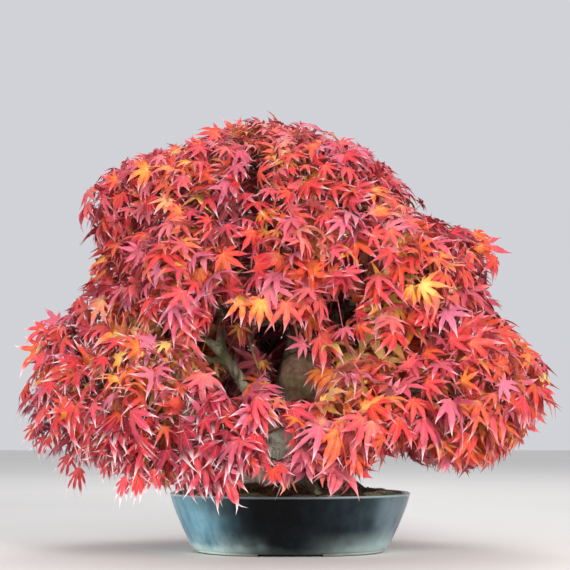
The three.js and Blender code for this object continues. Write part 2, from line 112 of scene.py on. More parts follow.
# Sprays: name, centre, half size, colour, the limb each one leaves and how far along it, as in the CAD
SPRAYS = [
    ("crown_apex", (-22, 0, 373), (80, 74, 45), "scarlet", "apex_leader", 1),
    ("crown_left", (-136, 4, 340), (64, 66, 48), "crimson", "apex_leader", 0.62),
    ("crown_front_left", (-80, -80, 336), (64, 60, 48), "crimson", "apex_leader", 0.78),
    ("crown_front_right", (22, -90, 340), (64, 60, 50), "scarlet", "apex_leader", 0.5),
    ("crown_right", (60, -8, 338), (60, 64, 46), "scarlet", "right_leader", 1),
    ("crown_back_right", (36, 85, 339), (68, 62, 50), "scarlet", "back_leader", 1),
    ("crown_back_left", (-74, 86, 338), (70, 62, 50), "crimson", "back_leader", 0.8),
    ("mid_right", (138, -4, 260), (62, 66, 62), "scarlet", "right_leader", 0.66),
    ("mid_front_right", (100, -106, 254), (68, 60, 60), "scarlet", "right_leader", 0.42),
    ("mid_front", (14, -130, 268), (62, 56, 48), "scarlet", "apex_leader", 0.24),
    ("mid_front_left", (-86, -114, 258), (64, 58, 52), "crimson", "left_fork", 1),
    ("mid_left", (-136, -24, 250), (57, 66, 60), "crimson", "left_front", 0.94),
    ("mid_back_left", (-106, 90, 258), (72, 66, 58), "crimson", "back_leader", 0.4),
    ("mid_back", (-2, 132, 256), (68, 58, 58), "scarlet", "back_leader", 0.55),
    ("mid_back_right", (100, 94, 258), (70, 64, 58), "scarlet", "back_leader", 0.3),
    ("low_right", (190, 2, 160), (70, 70, 66), "scarlet", "right_low", 1),
    ("low_front_right", (146, -98, 146), (66, 62, 66), "scarlet", "right_low", 0.55),
    ("low_front", (62, -134, 118), (62, 55, 56), "scarlet", "front_low", 1),
    ("low_front_middle", (-38, -136, 110), (62, 53, 50), "crimson", "front_low", 0.7),
    ("low_front_left", (-128, -110, 138), (66, 61, 65), "crimson", "left_low", 0.4),
    ("low_left", (-190, -14, 158), (70, 72, 76), "crimson", "left_low", 1),
    ("low_back_left", (-148, 92, 148), (72, 66, 68), "crimson", "left_low", 0.62),
    ("low_back_middle", (-58, 134, 142), (68, 60, 64), "scarlet", "back_low", 0.95),
    ("low_back", (48, 136, 142), (66, 59, 64), "scarlet", "back_low", 0.8),
    ("low_back_right", (140, 98, 148), (72, 66, 68), "scarlet", "right_low", 0.4),
    ("inner_left", (-122, -70, 200), (56, 54, 44), "orange", "left_front", 0.8),
    ("inner_right", (92, -84, 190), (56, 50, 44), "orange", "right_leader", 0.2),
    ("inner_back", (-26, 84, 196), (56, 44, 40), "orange", "back_low", 0.35),
    ("inner_front", (-44, -78, 226), (42, 36, 30), "orange", "apex_leader", 0.12),
]
INNER_COUNT = 4
STEM_RADIUS = 3.6
STEM_TIP_RADIUS = 2.4
STEM_KINK = 13
STEM_BENDS = (0.35, 0.7)
STEM_FLARE = 0.6
STEM_END_DROP = 0.16
STEM_SEED = 500
ROOT_SEED = 11
LIMB_STEPS = 200


# Repeatable draws between 0 and 1, the same as the CAD's
def draws_from(seed):
    mask = 0xFFFFFFFF
    state = seed

    def draw():
        nonlocal state
        state = (state + 0x6D2B79F5) & mask
        t = state
        t = ((t ^ (t >> 15)) * (t | 1)) & mask
        t ^= (t + (((t ^ (t >> 7)) * (t | 61)) & mask)) & mask
        return (t ^ (t >> 14)) / 2**32

    return draw


# The colour that a six-digit hex code names, in Blender's linear values
def colour(code):
    parts = [int(code[i : i + 2], 16) / 255 for i in (0, 2, 4)]
    linear = [c / 12.92 if c <= 0.04045 else ((c + 0.055) / 1.055) ** 2.4 for c in parts]
    return (*linear, 1)


# Node materials, built a node at a time
class Shader:
    def __init__(self, name):
        self.material = bpy.data.materials.new(name)
        self.material.use_nodes = True
        self.nodes = self.material.node_tree.nodes
        self.links = self.material.node_tree.links
        self.nodes.clear()
        self.position = self.add("ShaderNodeTexCoord").outputs["Object"]

    def add(self, kind, inputs=None, **settings):
        node = self.nodes.new(kind)
        for key, value in settings.items():
            setattr(node, key, value)
        for key, value in (inputs or {}).items():
            if isinstance(value, bpy.types.NodeSocket):
                self.links.new(value, node.inputs[key])
            else:
                node.inputs[key].default_value = value
        return node

    def math(self, operation, a, b=0.0, c=0.0, clamp=False):
        node = self.add("ShaderNodeMath", {0: a, 1: b, 2: c}, operation=operation, use_clamp=clamp)
        return node.outputs[0]

    def times(self, a, b, clamp=False):
        return self.math("MULTIPLY", a, b, clamp=clamp)

    def plus(self, a, b, clamp=False):
        return self.math("ADD", a, b, clamp=clamp)

    def minus(self, a, b):
        return self.math("SUBTRACT", a, b)

    def axes(self, vector):
        return tuple(self.add("ShaderNodeSeparateXYZ", {0: vector}).outputs)

    # A value from 0 to 1, made to sway evenly round 0
    def sway(self, value, size):
        return self.times(self.minus(value, 0.5), size)

    # 0 before the start, 1 past the end and smooth between them
    def step(self, value, start, end):
        inputs = {"Value": value, "From Min": start, "From Max": end}
        return self.add("ShaderNodeMapRange", inputs, interpolation_type="SMOOTHSTEP").outputs[0]

    # 1 before the start and 0 past the end
    def fall(self, value, start, end):
        return self.minus(1, self.step(value, start, end))

    # The same two for a place in metres and a zone [start, end] in millimetres
    def past(self, place, zone):
        return self.step(place, zone[0] * MM, zone[1] * MM)

    def before(self, place, zone):
        return self.fall(place, zone[0] * MM, zone[1] * MM)

    def stretched(self, scale):
        return self.add("ShaderNodeMapping", {"Vector": self.position, "Scale": scale}).outputs[0]

    def noise(self, scale, detail=4, roughness=0.55, vector=None):
        inputs = {"Vector": vector or self.position, "Scale": scale, "Detail": detail, "Roughness": roughness}
        return self.add("ShaderNodeTexNoise", inputs).outputs["Fac"]

    def cells(self, scale, vector=None, feature="F1"):
        inputs = {"Vector": vector or self.position, "Scale": scale}
        return self.add("ShaderNodeTexVoronoi", inputs, feature=feature).outputs["Distance"]

    def ramp(self, value, stops):
        node = self.add("ShaderNodeValToRGB", {"Fac": value})
        elements = node.color_ramp.elements
        elements.remove(elements[0])
        elements[0].position = stops[0][0]
        elements[0].color = colour(stops[0][1])
        for at, code in stops[1:]:
            elements.new(at).color = colour(code)
        return node.outputs["Color"]

    def mix(self, share, a, b, blend="MIX"):
        a = colour(a) if isinstance(a, str) else a
        b = colour(b) if isinstance(b, str) else b
        node = self.add("ShaderNodeMix", {0: share, 6: a, 7: b}, data_type="RGBA", blend_type=blend)
        return node.outputs[2]

    def bump(self, height, strength, depth, under=None):
        inputs = {"Height": height, "Strength": strength, "Distance": depth * MM}
        if under is not None:
            inputs["Normal"] = under
        return self.add("ShaderNodeBump", inputs).outputs["Normal"]

    def attribute(self, name):
        return self.add("ShaderNodeAttribute", attribute_name=name).outputs["Fac"]

    def principled(self, **inputs):
        named = {key.replace("_", " ").title().replace("Ior", "IOR"): value for key, value in inputs.items()}
        return self.add("ShaderNodeBsdfPrincipled", named).outputs[0]

    def finish(self, surface):
        self.add("ShaderNodeOutputMaterial", {"Surface": surface})
        return self.material


# Where the glaze's colour changes, from one place to another in millimetres, along the pot and up its wall.
# The zones on the left and right and the low one bound painted reflections, and the rim's band holds a
# painted highlight.
LEFT_REFLECTION_ZONE = (-98, -24)
RIGHT_REFLECTION_ZONE = (8, 110)
FAR_RIGHT_REFLECTION_ZONE = (76, 108)
LOW_REFLECTION_HEIGHT = (3, 26)
FOOT_BREAK_AND_REFLECTION_BAND = (2, 11)
RIM_BREAK_AND_HIGHLIGHT_BAND = (53.2, 55.2)
BARE_BAND = (0.6, 1.8)


# Slate-blue glaze with painted reflections: a pale blue one on the left, a dark one that makes the middle
# nearly black, a grey one on the right and a paler one low on the ends
def glaze_material():
    s = Shader("glaze")
    along, _, height = s.axes(s.position)
    mottle = s.noise(9, 6, 0.6)
    streaks = s.noise(1, 5, 0.6, s.stretched((60, 60, 11)))
    drift = s.plus(s.times(mottle, 0.65), s.times(streaks, 0.35))
    sideways = s.plus(along, s.sway(s.noise(14, 3), 0.07))
    # Painted reflections: a pale blue one towards the left end and a grey one towards the right end, over
    # dark glaze painted nearly black in the middle as a reflection of dark surroundings
    left_reflection = s.before(sideways, LEFT_REFLECTION_ZONE)
    right_reflection = s.past(sideways, RIGHT_REFLECTION_ZONE)
    dark_glaze_and_reflection = s.ramp(drift, [(0.36, "030405"), (0.5, "07090c"), (0.64, "11181d"), (0.78, "25313a")])
    pale_blue_reflection = s.ramp(drift, [(0.34, "4a7486"), (0.5, "7fb0c2"), (0.64, "a9d0da"), (0.78, "cfe4e6")])
    grey_reflection = s.ramp(drift, [(0.32, "10171b"), (0.5, "26343b"), (0.64, "42545c"), (0.78, "6b7d85")])
    body = s.mix(s.times(s.math("POWER", left_reflection, 2), 0.95), dark_glaze_and_reflection, pale_blue_reflection)
    body = s.mix(s.times(s.math("POWER", right_reflection, 2), 0.85), body, grey_reflection)
    # A painted pale reflection at the far right
    far_right_pale_reflection = s.times(s.past(sideways, FAR_RIGHT_REFLECTION_ZONE), s.step(drift, 0.36, 0.6))
    body = s.mix(s.times(far_right_pale_reflection, 0.36), body, "9db4bf")
    # sides marks the ends that hold the painted reflections; a painted paler reflection lies low on them
    sides = s.math("MAXIMUM", left_reflection, s.times(right_reflection, 0.52))
    low_pale_reflection = s.times(s.times(sides, s.before(height, LOW_REFLECTION_HEIGHT)), s.step(drift, 0.36, 0.56))
    body = s.mix(s.times(low_pale_reflection, 0.9), body, "cde6e2")
    ragged = s.sway(s.noise(30, 4), 0.02)
    # A pale glaze break at the foot, painted strongest on the ends where the painted reflections fall
    foot = s.before(s.plus(height, ragged), FOOT_BREAK_AND_REFLECTION_BAND)
    body = s.mix(s.times(foot, s.math("MULTIPLY_ADD", sides, 0.8, 0.03)), body, "c4dcd5")
    # A pale glaze break along the rim with a painted highlight, stronger on the ends
    rim = s.past(s.plus(height, s.times(ragged, 0.04)), RIM_BREAK_AND_HIGHLIGHT_BAND)
    body = s.mix(s.times(rim, s.math("MULTIPLY_ADD", sides, 0.55, 0.4)), body, "b2c4ca")
    bare = s.before(height, BARE_BAND)
    body = s.mix(bare, body, "6b5546")
    rough = s.add("ShaderNodeMapRange", {"Value": mottle, "To Min": 0.12, "To Max": 0.28}).outputs[0]
    rough = s.plus(rough, s.times(bare, 0.5))
    waves = s.bump(s.noise(28, 3), 0.25, 1.2)
    pits = s.bump(s.noise(240, 2), 0.05, 0.4, waves)
    glossy = {"specular_ior_level": 0.1, "coat_weight": 0.03, "coat_roughness": 0.08}
    return s.finish(s.principled(base_color=body, roughness=rough, normal=pits, **glossy))


def screen_material():
    s = Shader("screen")
    shade = s.ramp(s.noise(200), [(0.3, "141413"), (0.7, "262523")])
    return s.finish(s.principled(base_color=shade, roughness=0.6, normal=s.bump(s.noise(900), 0.2, 0.2)))


def soil_material():
    s = Shader("soil")
    grit = s.cells(330)
    tone = s.plus(s.times(s.noise(60, 6), 0.7), s.times(grit, 0.5))
    body = s.ramp(tone, [(0.25, "1f1811"), (0.45, "3a2d20"), (0.62, "5d4833"), (0.8, "86704f")])
    damp = s.step(s.noise(14, 3), 0.4, 0.65)
    body = s.mix(s.times(damp, 0.5), body, "1a140e")
    relief = s.bump(grit, 0.8, 1.2, s.bump(s.noise(420, 4), 0.5, 0.6))
    return s.finish(s.principled(base_color=body, roughness=0.9, normal=relief))


def moss_material():
    s = Shader("moss")
    blend = s.plus(s.times(s.noise(22, 3), 0.6), s.times(s.noise(300, 4), 0.5))
    body = s.ramp(blend, [(0.35, "29331a"), (0.5, "515c2b"), (0.62, "7f8140"), (0.78, "ab9b58")])
    dry = s.step(s.noise(30, 2), 0.52, 0.66)
    body = s.mix(s.times(dry, 0.7), body, "5d4527")
    relief = s.bump(s.cells(700), 0.8, 1)
    return s.finish(s.principled(base_color=body, roughness=0.95, normal=relief, sheen_weight=0.4))


# The left and low parts of the trunk, where most lichen grows, and its foot, in millimetres
BARK_LEFT = (-20, 16)
BARK_LOW = (110, 190)
BARK_FOOT = (105, 125)


# The trunk's coordinates from the middle of the scar's face, as shares of the healed part's size
def scar_offset(s):
    middle = (SCAR["x"] * MM, (SCAR["y"] - SCAR["depth"]) * MM, SCAR["z"] * MM)
    halves = (SCAR["width"] * HEALED_SPREAD, HEALED_DEPTH, SCAR["height"] * HEALED_SPREAD)
    offset = s.add("ShaderNodeVectorMath", {0: s.position, 1: middle}, operation="SUBTRACT").outputs[0]
    size = [1 / (half * MM) for half in halves]
    return s.add("ShaderNodeVectorMath", {0: offset, 1: size}, operation="MULTIPLY").outputs[0]


# Bark of the trunk and limbs: fibrous and grey-olive, with lichen, and smooth brown callus on the scar with
# painted shade along its upper edge
def bark_material():
    s = Shader("bark")
    fibres = s.noise(1, 6, 0.65, s.stretched((260, 260, 34)))
    plates = s.cells(1, s.stretched((95, 95, 30)), "DISTANCE_TO_EDGE")
    tone = s.plus(s.times(fibres, 0.65), s.times(s.noise(24, 4), 0.45))
    body = s.ramp(tone, [(0.32, "2f2a1c"), (0.47, "5c543e"), (0.6, "888068"), (0.76, "b0a98f")])
    crack = s.fall(plates, 0.0, 0.12)
    body = s.mix(s.times(crack, 0.55), body, "211b12")
    green = s.step(s.noise(20, 4), 0.5, 0.62)
    body = s.mix(s.times(green, 0.5), body, "6b6f45")
    place_x, _, place_z = s.axes(s.position)
    leftward = s.before(place_x, BARK_LEFT)
    low_left = s.times(leftward, s.before(place_z, BARK_LOW))
    spread = s.plus(s.noise(9, 2), s.times(low_left, 0.25))
    scab = s.times(s.step(s.noise(38, 5, 0.65), 0.53, 0.6), s.step(spread, 0.42, 0.6))
    body = s.mix(s.times(scab, 0.85), body, "b9c0a6")
    near_foot = s.times(leftward, s.before(place_z, BARK_FOOT))
    lichen = s.times(near_foot, s.step(s.noise(70, 4), 0.4, 0.5))
    body = s.mix(s.times(lichen, 0.95), body, "eef1e0")
    torn = s.times(low_left, s.step(fibres, 0.44, 0.58))
    body = s.mix(s.times(torn, 1.1, clamp=True), body, "a9a791")
    within = scar_offset(s)
    reach = s.add("ShaderNodeVectorMath", {0: within}, operation="LENGTH").outputs["Value"]
    ragged = s.plus(reach, s.sway(s.noise(62, 4), 0.6))
    healed = s.fall(ragged, 0.9, 1.2)
    grain = s.plus(s.times(s.noise(55, 5), 0.6), s.times(s.noise(190, 4), 0.4))
    callus = s.ramp(grain, [(0.34, "433222"), (0.46, "6f563f"), (0.56, "8c7058"), (0.7, "a89078")])
    algae = s.times(s.step(s.noise(48, 4), 0.5, 0.62), 0.6)
    callus = s.mix(algae, callus, "66683c")
    body = s.mix(healed, body, callus)
    # Painted shade: a dark line along the scar's upper edge
    edge = s.times(s.step(ragged, 1.0, 1.1), s.fall(ragged, 1.1, 1.3))
    scar_upper_side = s.step(s.axes(within)[2], -0.2, 0.6)
    body = s.mix(s.times(edge, s.times(scar_upper_side, 0.75)), body, "1e1810")
    rough_part = s.minus(1, s.times(healed, 0.5))
    relief = s.bump(s.times(fibres, rough_part), 0.7, 1.4)
    relief = s.bump(s.times(crack, rough_part), -0.4, 1, relief)
    return s.finish(s.principled(base_color=body, roughness=0.82, normal=relief))


def twig_material():
    s = Shader("twig_bark")
    tone = s.noise(120, 4)
    body = s.ramp(tone, [(0.3, "4a2f22"), (0.5, "7a4a36"), (0.7, "9a7f5c")])
    lenticel = s.step(s.noise(600, 1), 0.64, 0.7)
    body = s.mix(s.times(lenticel, 0.5), body, "c9b78f")
    return s.finish(s.principled(base_color=body, roughness=0.6, normal=s.bump(tone, 0.3, 0.4)))


# Stops of the leaf colours, from deep crimson to yellow
LEAF_TONES = [
    (0.0, "640f28"),
    (0.14, "a51a36"),
    (0.3, "cc263c"),
    (0.46, "dc3234"),
    (0.6, "e44a2b"),
    (0.74, "e86c28"),
    (0.87, "f09a38"),
    (1.0, "f6cf6a"),
]
# How far light passes through a leaf, as the share of its shader
GLOW_SHARE = 0.3


# A leaf's colour follows its own tint, warmer at the stalk, with a painted sheen, paler undersides, painted
# highlights on the tips, and ribs and side veins
def leaf_material(name):
    s = Shader(name)
    u, along, _ = s.axes(s.add("ShaderNodeUVMap", uv_map="leaf").outputs[0])
    across = s.math("ABSOLUTE", s.math("MULTIPLY_ADD", u, 2, -1))
    blotch = s.sway(s.noise(75, 3), 0.42)
    warm = s.times(s.minus(0.78, along), 0.32)
    edge = s.times(across, -0.07)
    place = s.plus(s.plus(s.attribute("tint"), blotch), s.plus(warm, edge), clamp=True)
    body = s.ramp(place, LEAF_TONES)
    # Painted sheen: a mauve highlight laid on each leaf by its own share
    body = s.mix(s.attribute("painted_sheen"), body, "d27fa2")
    body = s.mix(s.times(s.attribute("underside"), 0.35), body, "d98c98")
    # Painted highlight: pale tips, strongest at the crown's low left
    painted_tip_highlight = s.times(s.step(along, 0.58, 0.92), s.attribute("painted_tip_highlight"))
    body = s.mix(painted_tip_highlight, body, "f8e6ea")
    rib = s.fall(across, 0.03, 0.14)
    body = s.mix(s.times(rib, 0.28), body, "f6b29a")
    slanted = s.minus(along, s.times(across, 0.16))
    side_veins = s.math("SINE", s.times(slanted, 70))
    body = s.mix(s.times(s.step(side_veins, 0.6, 1), 0.14), body, "f2a08c")
    relief = s.bump(rib, 0.5, 0.35, s.bump(side_veins, 0.25, 0.2))
    relief = s.bump(s.noise(420, 2), 0.25, 0.3, relief)
    satin = {"roughness": 0.42, "specular_ior_level": 0.35, "sheen_weight": 0.08}
    skin = s.principled(base_color=body, normal=relief, **satin)
    glow = s.add("ShaderNodeBsdfTranslucent", {"Color": body, "Normal": relief}).outputs[0]
    return s.finish(s.add("ShaderNodeMixShader", {0: GLOW_SHARE, 1: skin, 2: glow}).outputs[0])


def floor_material():
    s = Shader("floor")
    tone = s.ramp(s.noise(2, 3), [(0.3, "dcdad6"), (0.7, "e2e0dc")])
    return s.finish(s.principled(base_color=tone, roughness=0.7))


# A mesh object from points in millimetres
def new_piece(name, points, faces, material, smooth=True):
    mesh = bpy.data.meshes.new(name)
    points = np.asarray(points, dtype=float) * MM
    faces = faces.tolist() if isinstance(faces, np.ndarray) else faces
    mesh.from_pydata(points.tolist(), [], faces)
    mesh.materials.append(material)
    mesh.polygons.foreach_set("use_smooth", [smooth] * len(mesh.polygons))
    mesh.update()
    piece = bpy.data.objects.new(name, mesh)
    bpy.context.scene.collection.objects.link(piece)
    return piece


# Points and faces that are gathered part by part for one mesh
class Parts:
    def __init__(self):
        self.points = []
        self.faces = []
        self.total = 0

    def add(self, points, faces):
        self.points.append(points)
        self.faces.append(faces + self.total)
        self.total += len(points)

    def piece(self, name, material, smooth=True):
        return new_piece(name, np.concatenate(self.points), np.concatenate(self.faces), material, smooth)


# Replaces a piece's mesh with what its modifiers make of it
def apply_modifiers(piece):
    graph = bpy.context.evaluated_depsgraph_get()
    made = bpy.data.meshes.new_from_object(piece.evaluated_get(graph))
    piece.modifiers.clear()
    piece.data = made


# A vector of every vertex of a piece, such as its place or normal
def vertex_rows(piece, key):
    flat = np.empty(len(piece.data.vertices) * 3)
    piece.data.vertices.foreach_get(key, flat)
    return flat.reshape(-1, 3)


# The CAD's curve through the points of a limb, at n even steps
def smooth_path(points, n):
    points = np.asarray(points, dtype=float)
    place = points[:, :3]
    before = 2 * place[0] - place[1]
    after = 2 * place[-1] - place[-2]
    padded = np.vstack([before, place, after])
    rows = []
    for share in np.linspace(0, 1, n):
        along = share * (len(place) - 1)
        i = min(int(along), len(place) - 2)
        w = along - i
        x0, x1, x2, x3 = padded[i : i + 4]
        d0, d1, d2 = (np.sqrt(np.linalg.norm(b - a)) for a, b in ((x0, x1), (x1, x2), (x2, x3)))
        t1 = d1 * ((x1 - x0) / d0 - (x2 - x0) / (d0 + d1) + (x2 - x1) / d1)
        t2 = d1 * ((x2 - x1) / d1 - (x3 - x1) / (d1 + d2) + (x3 - x2) / d2)
        at = x1 + t1 * w + (3 * (x2 - x1) - 2 * t1 - t2) * w**2 + (2 * (x1 - x2) + t1 + t2) * w**3
        radius = points[i, 3] + (points[i + 1, 3] - points[i, 3]) * w
        rows.append([*at, radius])
    return np.array(rows)


# Closed tubes round many paths at once. paths is [tube, ring, 3], and radii [tube, ring] or the same for all.
def tubes(paths, radii, sides, flute=None):
    count, rings = paths.shape[:2]
    radii = np.broadcast_to(radii, (count, rings))
    tangent = np.gradient(paths, axis=1)
    tangent /= np.linalg.norm(tangent, axis=2, keepdims=True) + 1e-9
    guide = np.where(np.abs(tangent[:, :1, 2:]) > 0.85, [[[1.0, 0, 0]]], [[[0, 0, 1.0]]])
    side = np.cross(tangent, np.broadcast_to(guide, tangent.shape))
    side /= np.linalg.norm(side, axis=2, keepdims=True) + 1e-9
    up = np.cross(side, tangent)
    angle = np.arange(sides) / sides * 2 * np.pi
    scale = radii[:, :, None] * np.ones(sides)
    if flute is not None:
        scale = scale * flute(angle, np.arange(rings))
    ring = (
        paths[:, :, None]
        + side[:, :, None] * (scale * np.cos(angle))[..., None]
        + up[:, :, None] * (scale * np.sin(angle))[..., None]
    )
    ends = paths[:, [0, -1]] + tangent[:, [0, -1]] * (radii[:, [0, -1]] * [-0.33, 0.33])[..., None]
    points = np.concatenate([ring.reshape(count, -1, 3), ends], axis=1)
    k = np.arange(sides)
    faces = []
    for i in range(rings - 1):
        a, b = i * sides + k, i * sides + (k + 1) % sides
        faces += [np.stack([a, b, b + sides], 1), np.stack([a, b + sides, a + sides], 1)]
    first = np.full(sides, rings * sides)
    last = (rings - 1) * sides
    faces.append(np.stack([first, (k + 1) % sides, k], 1))
    faces.append(np.stack([first + 1, last + k, last + (k + 1) % sides], 1))
    faces = np.concatenate(faces)
    step = points.shape[1]
    every = faces[None] + (np.arange(count) * step)[:, None, None]
    return points.reshape(-1, 3), every.reshape(-1, 3)


def oval(angle, inset):
    bend = lambda v: math.copysign(abs(v) ** (2 / OVAL_POWER), v)
    return (POT_LENGTH / 2 - inset) * bend(math.cos(angle)), (POT_DEPTH / 2 - inset) * bend(math.sin(angle))


# Studio: lights as name, place in metres, size, power and tint, then the room's own light and the floor
LIGHTS = [
    ("key", (0.9, -1.9, 0.85), 0.8, 48, (1, 0.97, 0.95)),
    ("fill", (-1.3, -1.9, 0.5), 0.8, 34, (1, 0.98, 0.97)),
    ("back", (0.2, 1.3, 1.9), 1.2, 14, (1, 1, 1)),
]
LIGHT_TARGET = (0, 0, 0.2)
ROOM_TINT = (0.94, 0.95, 1, 1)
ROOM_LIGHT = 0.68
FLOOR_HALF = 6000


def set_camera():
    data = bpy.data.cameras.new("camera")
    data.lens = CAMERA_LENS
    data.sensor_width = 36
    data.clip_end = 50
    camera = bpy.data.objects.new("camera", data)
    camera.location = (CAMERA_X * MM, -CAMERA_DISTANCE * MM, CAMERA_Z * MM)
    camera.rotation_euler = (math.radians(90 + CAMERA_PITCH), 0, 0)
    bpy.context.scene.collection.objects.link(camera)
    bpy.context.scene.camera = camera


def set_stage():
    corners = [(x * FLOOR_HALF, y * FLOOR_HALF, 0) for x, y in ((-1, -1), (1, -1), (1, 1), (-1, 1))]
    floor = new_piece("floor", corners, [(0, 1, 2, 3)], floor_material())
    world = bpy.data.worlds.new("studio")
    world.use_nodes = True
    background = world.node_tree.nodes["Background"]
    background.inputs["Color"].default_value = ROOM_TINT
    background.inputs["Strength"].default_value = ROOM_LIGHT
    bpy.context.scene.world = world
    for name, place, size, power, tint in LIGHTS:
        data = bpy.data.lights.new(name, "AREA")
        data.size = size
        data.energy = power
        data.color = tint
        light = bpy.data.objects.new(name, data)
        light.location = place
        light.rotation_euler = (Vector(LIGHT_TARGET) - Vector(place)).to_track_quat("-Z", "Y").to_euler()
        bpy.context.scene.collection.objects.link(light)
    bpy.context.scene.view_settings.view_transform = "Standard"


# Pot: the CAD's section [inset from the rim's outline, height] with many sides, a soft lip, and the foot's
# gaps and drain holes cut out
OUTER_WALL = [(22, 3.8), (19.5, 7), (17, 13), (12.4, 22.5), (7.8, 33), (3.4, 44), (0.5, 53.6)]
LIP = [(0.1, 54.6), (0, 55), (0.2, 55.6), (0.8, 56), (3.4, 56), (5.2, 55.8), (6, 55)]
INNER_WALL = [(6.6, 53), (8.4, 48), (14, 33), (19, 20), (23, 12.5), (27, FLOOR_TOP)]
OUTER_STEPS = 22
INNER_STEPS = 14
POT_SIDES = 160
HOLE_SIDES = 48
SHARP_ANGLE = 38


# Quads between rings of points that have the same number of sides
def ring_quads(rings, sides):
    quads = []
    for r in range(rings - 1):
        for k in range(sides):
            a, b = r * sides + k, r * sides + (k + 1) % sides
            quads.append((a, b, b + sides, a + sides))
    return quads


def oval_ring(sides, inset):
    return [oval(k / sides * 2 * math.pi, inset) for k in range(sides)]


def rings_piece(name, profile, material):
    points = [(x, y, z) for inset, z in profile for x, y in oval_ring(POT_SIDES, inset)]
    top = (len(profile) - 1) * POT_SIDES
    ends = [tuple(range(POT_SIDES))[::-1], tuple(top + k for k in range(POT_SIDES))]
    return new_piece(name, points, ring_quads(len(profile), POT_SIDES) + ends, material)


def box_cutter(width, depth, low, high):
    x, y = width / 2, depth / 2
    points = [(sx * x, sy * y, z) for z in (low, high) for sx, sy in ((-1, -1), (1, -1), (1, 1), (-1, 1))]
    faces = [(3, 2, 1, 0), (4, 5, 6, 7), (0, 1, 5, 4), (1, 2, 6, 5), (2, 3, 7, 6), (3, 0, 4, 7)]
    return points, faces


def drain_cutter(x):
    paths = np.array([[[x, 0, -1], [x, 0, FLOOR_TOP / 2], [x, 0, FLOOR_TOP + 2]]], dtype=float)
    return tubes(paths, DRAIN_RADIUS, HOLE_SIDES)


def smooth_profile(profile, count):
    rows = smooth_path([(inset, z, 0, 0) for inset, z in profile], count)
    return [(inset, z) for inset, z, *_ in rows]


def make_pot(material):
    foot = [
        (FOOT_INNER_INSET, FOOT_HEIGHT),
        (FOOT_INNER_INSET, 0.5),
        (FOOT_INNER_INSET - 0.6, 0),
        (FOOT_OUTER_INSET + 0.6, 0),
        (FOOT_OUTER_INSET, 0.6),
        (FOOT_OUTER_INSET - 0.8, FOOT_HEIGHT),
    ]
    wall = smooth_profile(OUTER_WALL, OUTER_STEPS)
    inside = smooth_profile(INNER_WALL, INNER_STEPS)
    pot = rings_piece("pot_glazed", [*foot, *wall, *LIP, *inside], material)
    across = POT_LENGTH * 2
    shapes = [
        box_cutter(FOOT_GAP_LENGTH, across, -1, FOOT_GAP_TOP),
        box_cutter(across, FOOT_GAP_DEPTH, -1, FOOT_GAP_TOP),
        drain_cutter(-DRAIN_X),
        drain_cutter(DRAIN_X),
    ]
    cutters = [new_piece("cutter", *shape, material) for shape in shapes]
    for tool in cutters:
        cut = pot.modifiers.new("cut", "BOOLEAN")
        cut.operation = "DIFFERENCE"
        cut.solver = "EXACT"
        cut.object = tool
    apply_modifiers(pot)
    for tool in cutters:
        bpy.data.objects.remove(tool)
    with bpy.context.temp_override(object=pot, active_object=pot, selected_editable_objects=[pot]):
        bpy.ops.object.shade_smooth_by_angle(angle=math.radians(SHARP_ANGLE))
    return pot


# Soil: a mounded, gritty top in the pot, with loose grains and clumps of moss
SOIL_SIDES = 180
SOIL_RINGS = 46
SOIL_INSET = RIM_WIDTH + 2.6
SKIRT_DROP = 8
GRAIN_SEED = 21
GRAIN_COUNT = 2200
GRAIN_SIZES = (0.6, 1.7)
MOSS_SEED = 31
CLUMP_COUNT = 64
CLUMP_SIZES = (5, 12)
TUFTS = 46


def soil_height(x, y):
    share = min(1, math.hypot(x / (POT_LENGTH / 2), y / (POT_DEPTH / 2)))
    rise = (SOIL_CROWN - SOIL_EDGE) * (1 - share**1.6)
    p = Vector((x * 0.03, y * 0.03, 0))
    return SOIL_EDGE - 0.3 + rise + 1.6 * noise.noise(p) + 0.9 * noise.noise(p * 4)


def make_soil(material):
    points = []
    for r in range(SOIL_RINGS):
        inset = SOIL_INSET + (POT_DEPTH / 2 - SOIL_INSET) * (r / (SOIL_RINGS - 1)) ** 1.1 * 0.98
        for x, y in oval_ring(SOIL_SIDES, inset):
            p = Vector((x * 0.28, y * 0.28, 3))
            points.append((x, y, soil_height(x, y) + 0.55 * noise.noise(p) + 0.4 * noise.noise(p * 2.7)))
    faces = ring_quads(SOIL_RINGS, SOIL_SIDES)
    faces.append(tuple((SOIL_RINGS - 1) * SOIL_SIDES + k for k in range(SOIL_SIDES)))
    skirt = len(points)
    points += [(x, y, SOIL_EDGE - SKIRT_DROP) for x, y in oval_ring(SOIL_SIDES, SOIL_INSET + 2)]
    for k in range(SOIL_SIDES):
        faces.append((skirt + k, skirt + (k + 1) % SOIL_SIDES, (k + 1) % SOIL_SIDES, k))
    faces.append(tuple(skirt + k for k in range(SOIL_SIDES))[::-1])
    return new_piece("soil_bed", points, faces, material)


def ball(detail):
    sphere = bmesh.new()
    bmesh.ops.create_icosphere(sphere, subdivisions=detail, radius=1)
    points = np.array([v.co[:] for v in sphere.verts])
    faces = np.array([[v.index for v in f.verts] for f in sphere.faces])
    sphere.free()
    return points, faces


# A random place on the soil, nearer to the pot's wall with more edge
def soil_spot(rng, edge=0.0):
    angle = rng.uniform(0, 2 * math.pi)
    reach = math.sqrt(rng.uniform(0.2 + 0.5 * edge, 1))
    x, y = oval(angle, 9)
    return x * reach, y * reach


def make_grains(material):
    rng = np.random.default_rng(GRAIN_SEED)
    shape, faces = ball(1)
    grains = Parts()
    for _ in range(GRAIN_COUNT):
        x, y = soil_spot(rng)
        size = rng.uniform(*GRAIN_SIZES) * rng.uniform(0.7, 1.1, 3)
        rough = shape * size * (1 + rng.uniform(-0.18, 0.18, (len(shape), 1)))
        grains.add(rough + [x, y, soil_height(x, y) + 0.3], faces)
    return grains.piece("soil_grains", material, smooth=False)


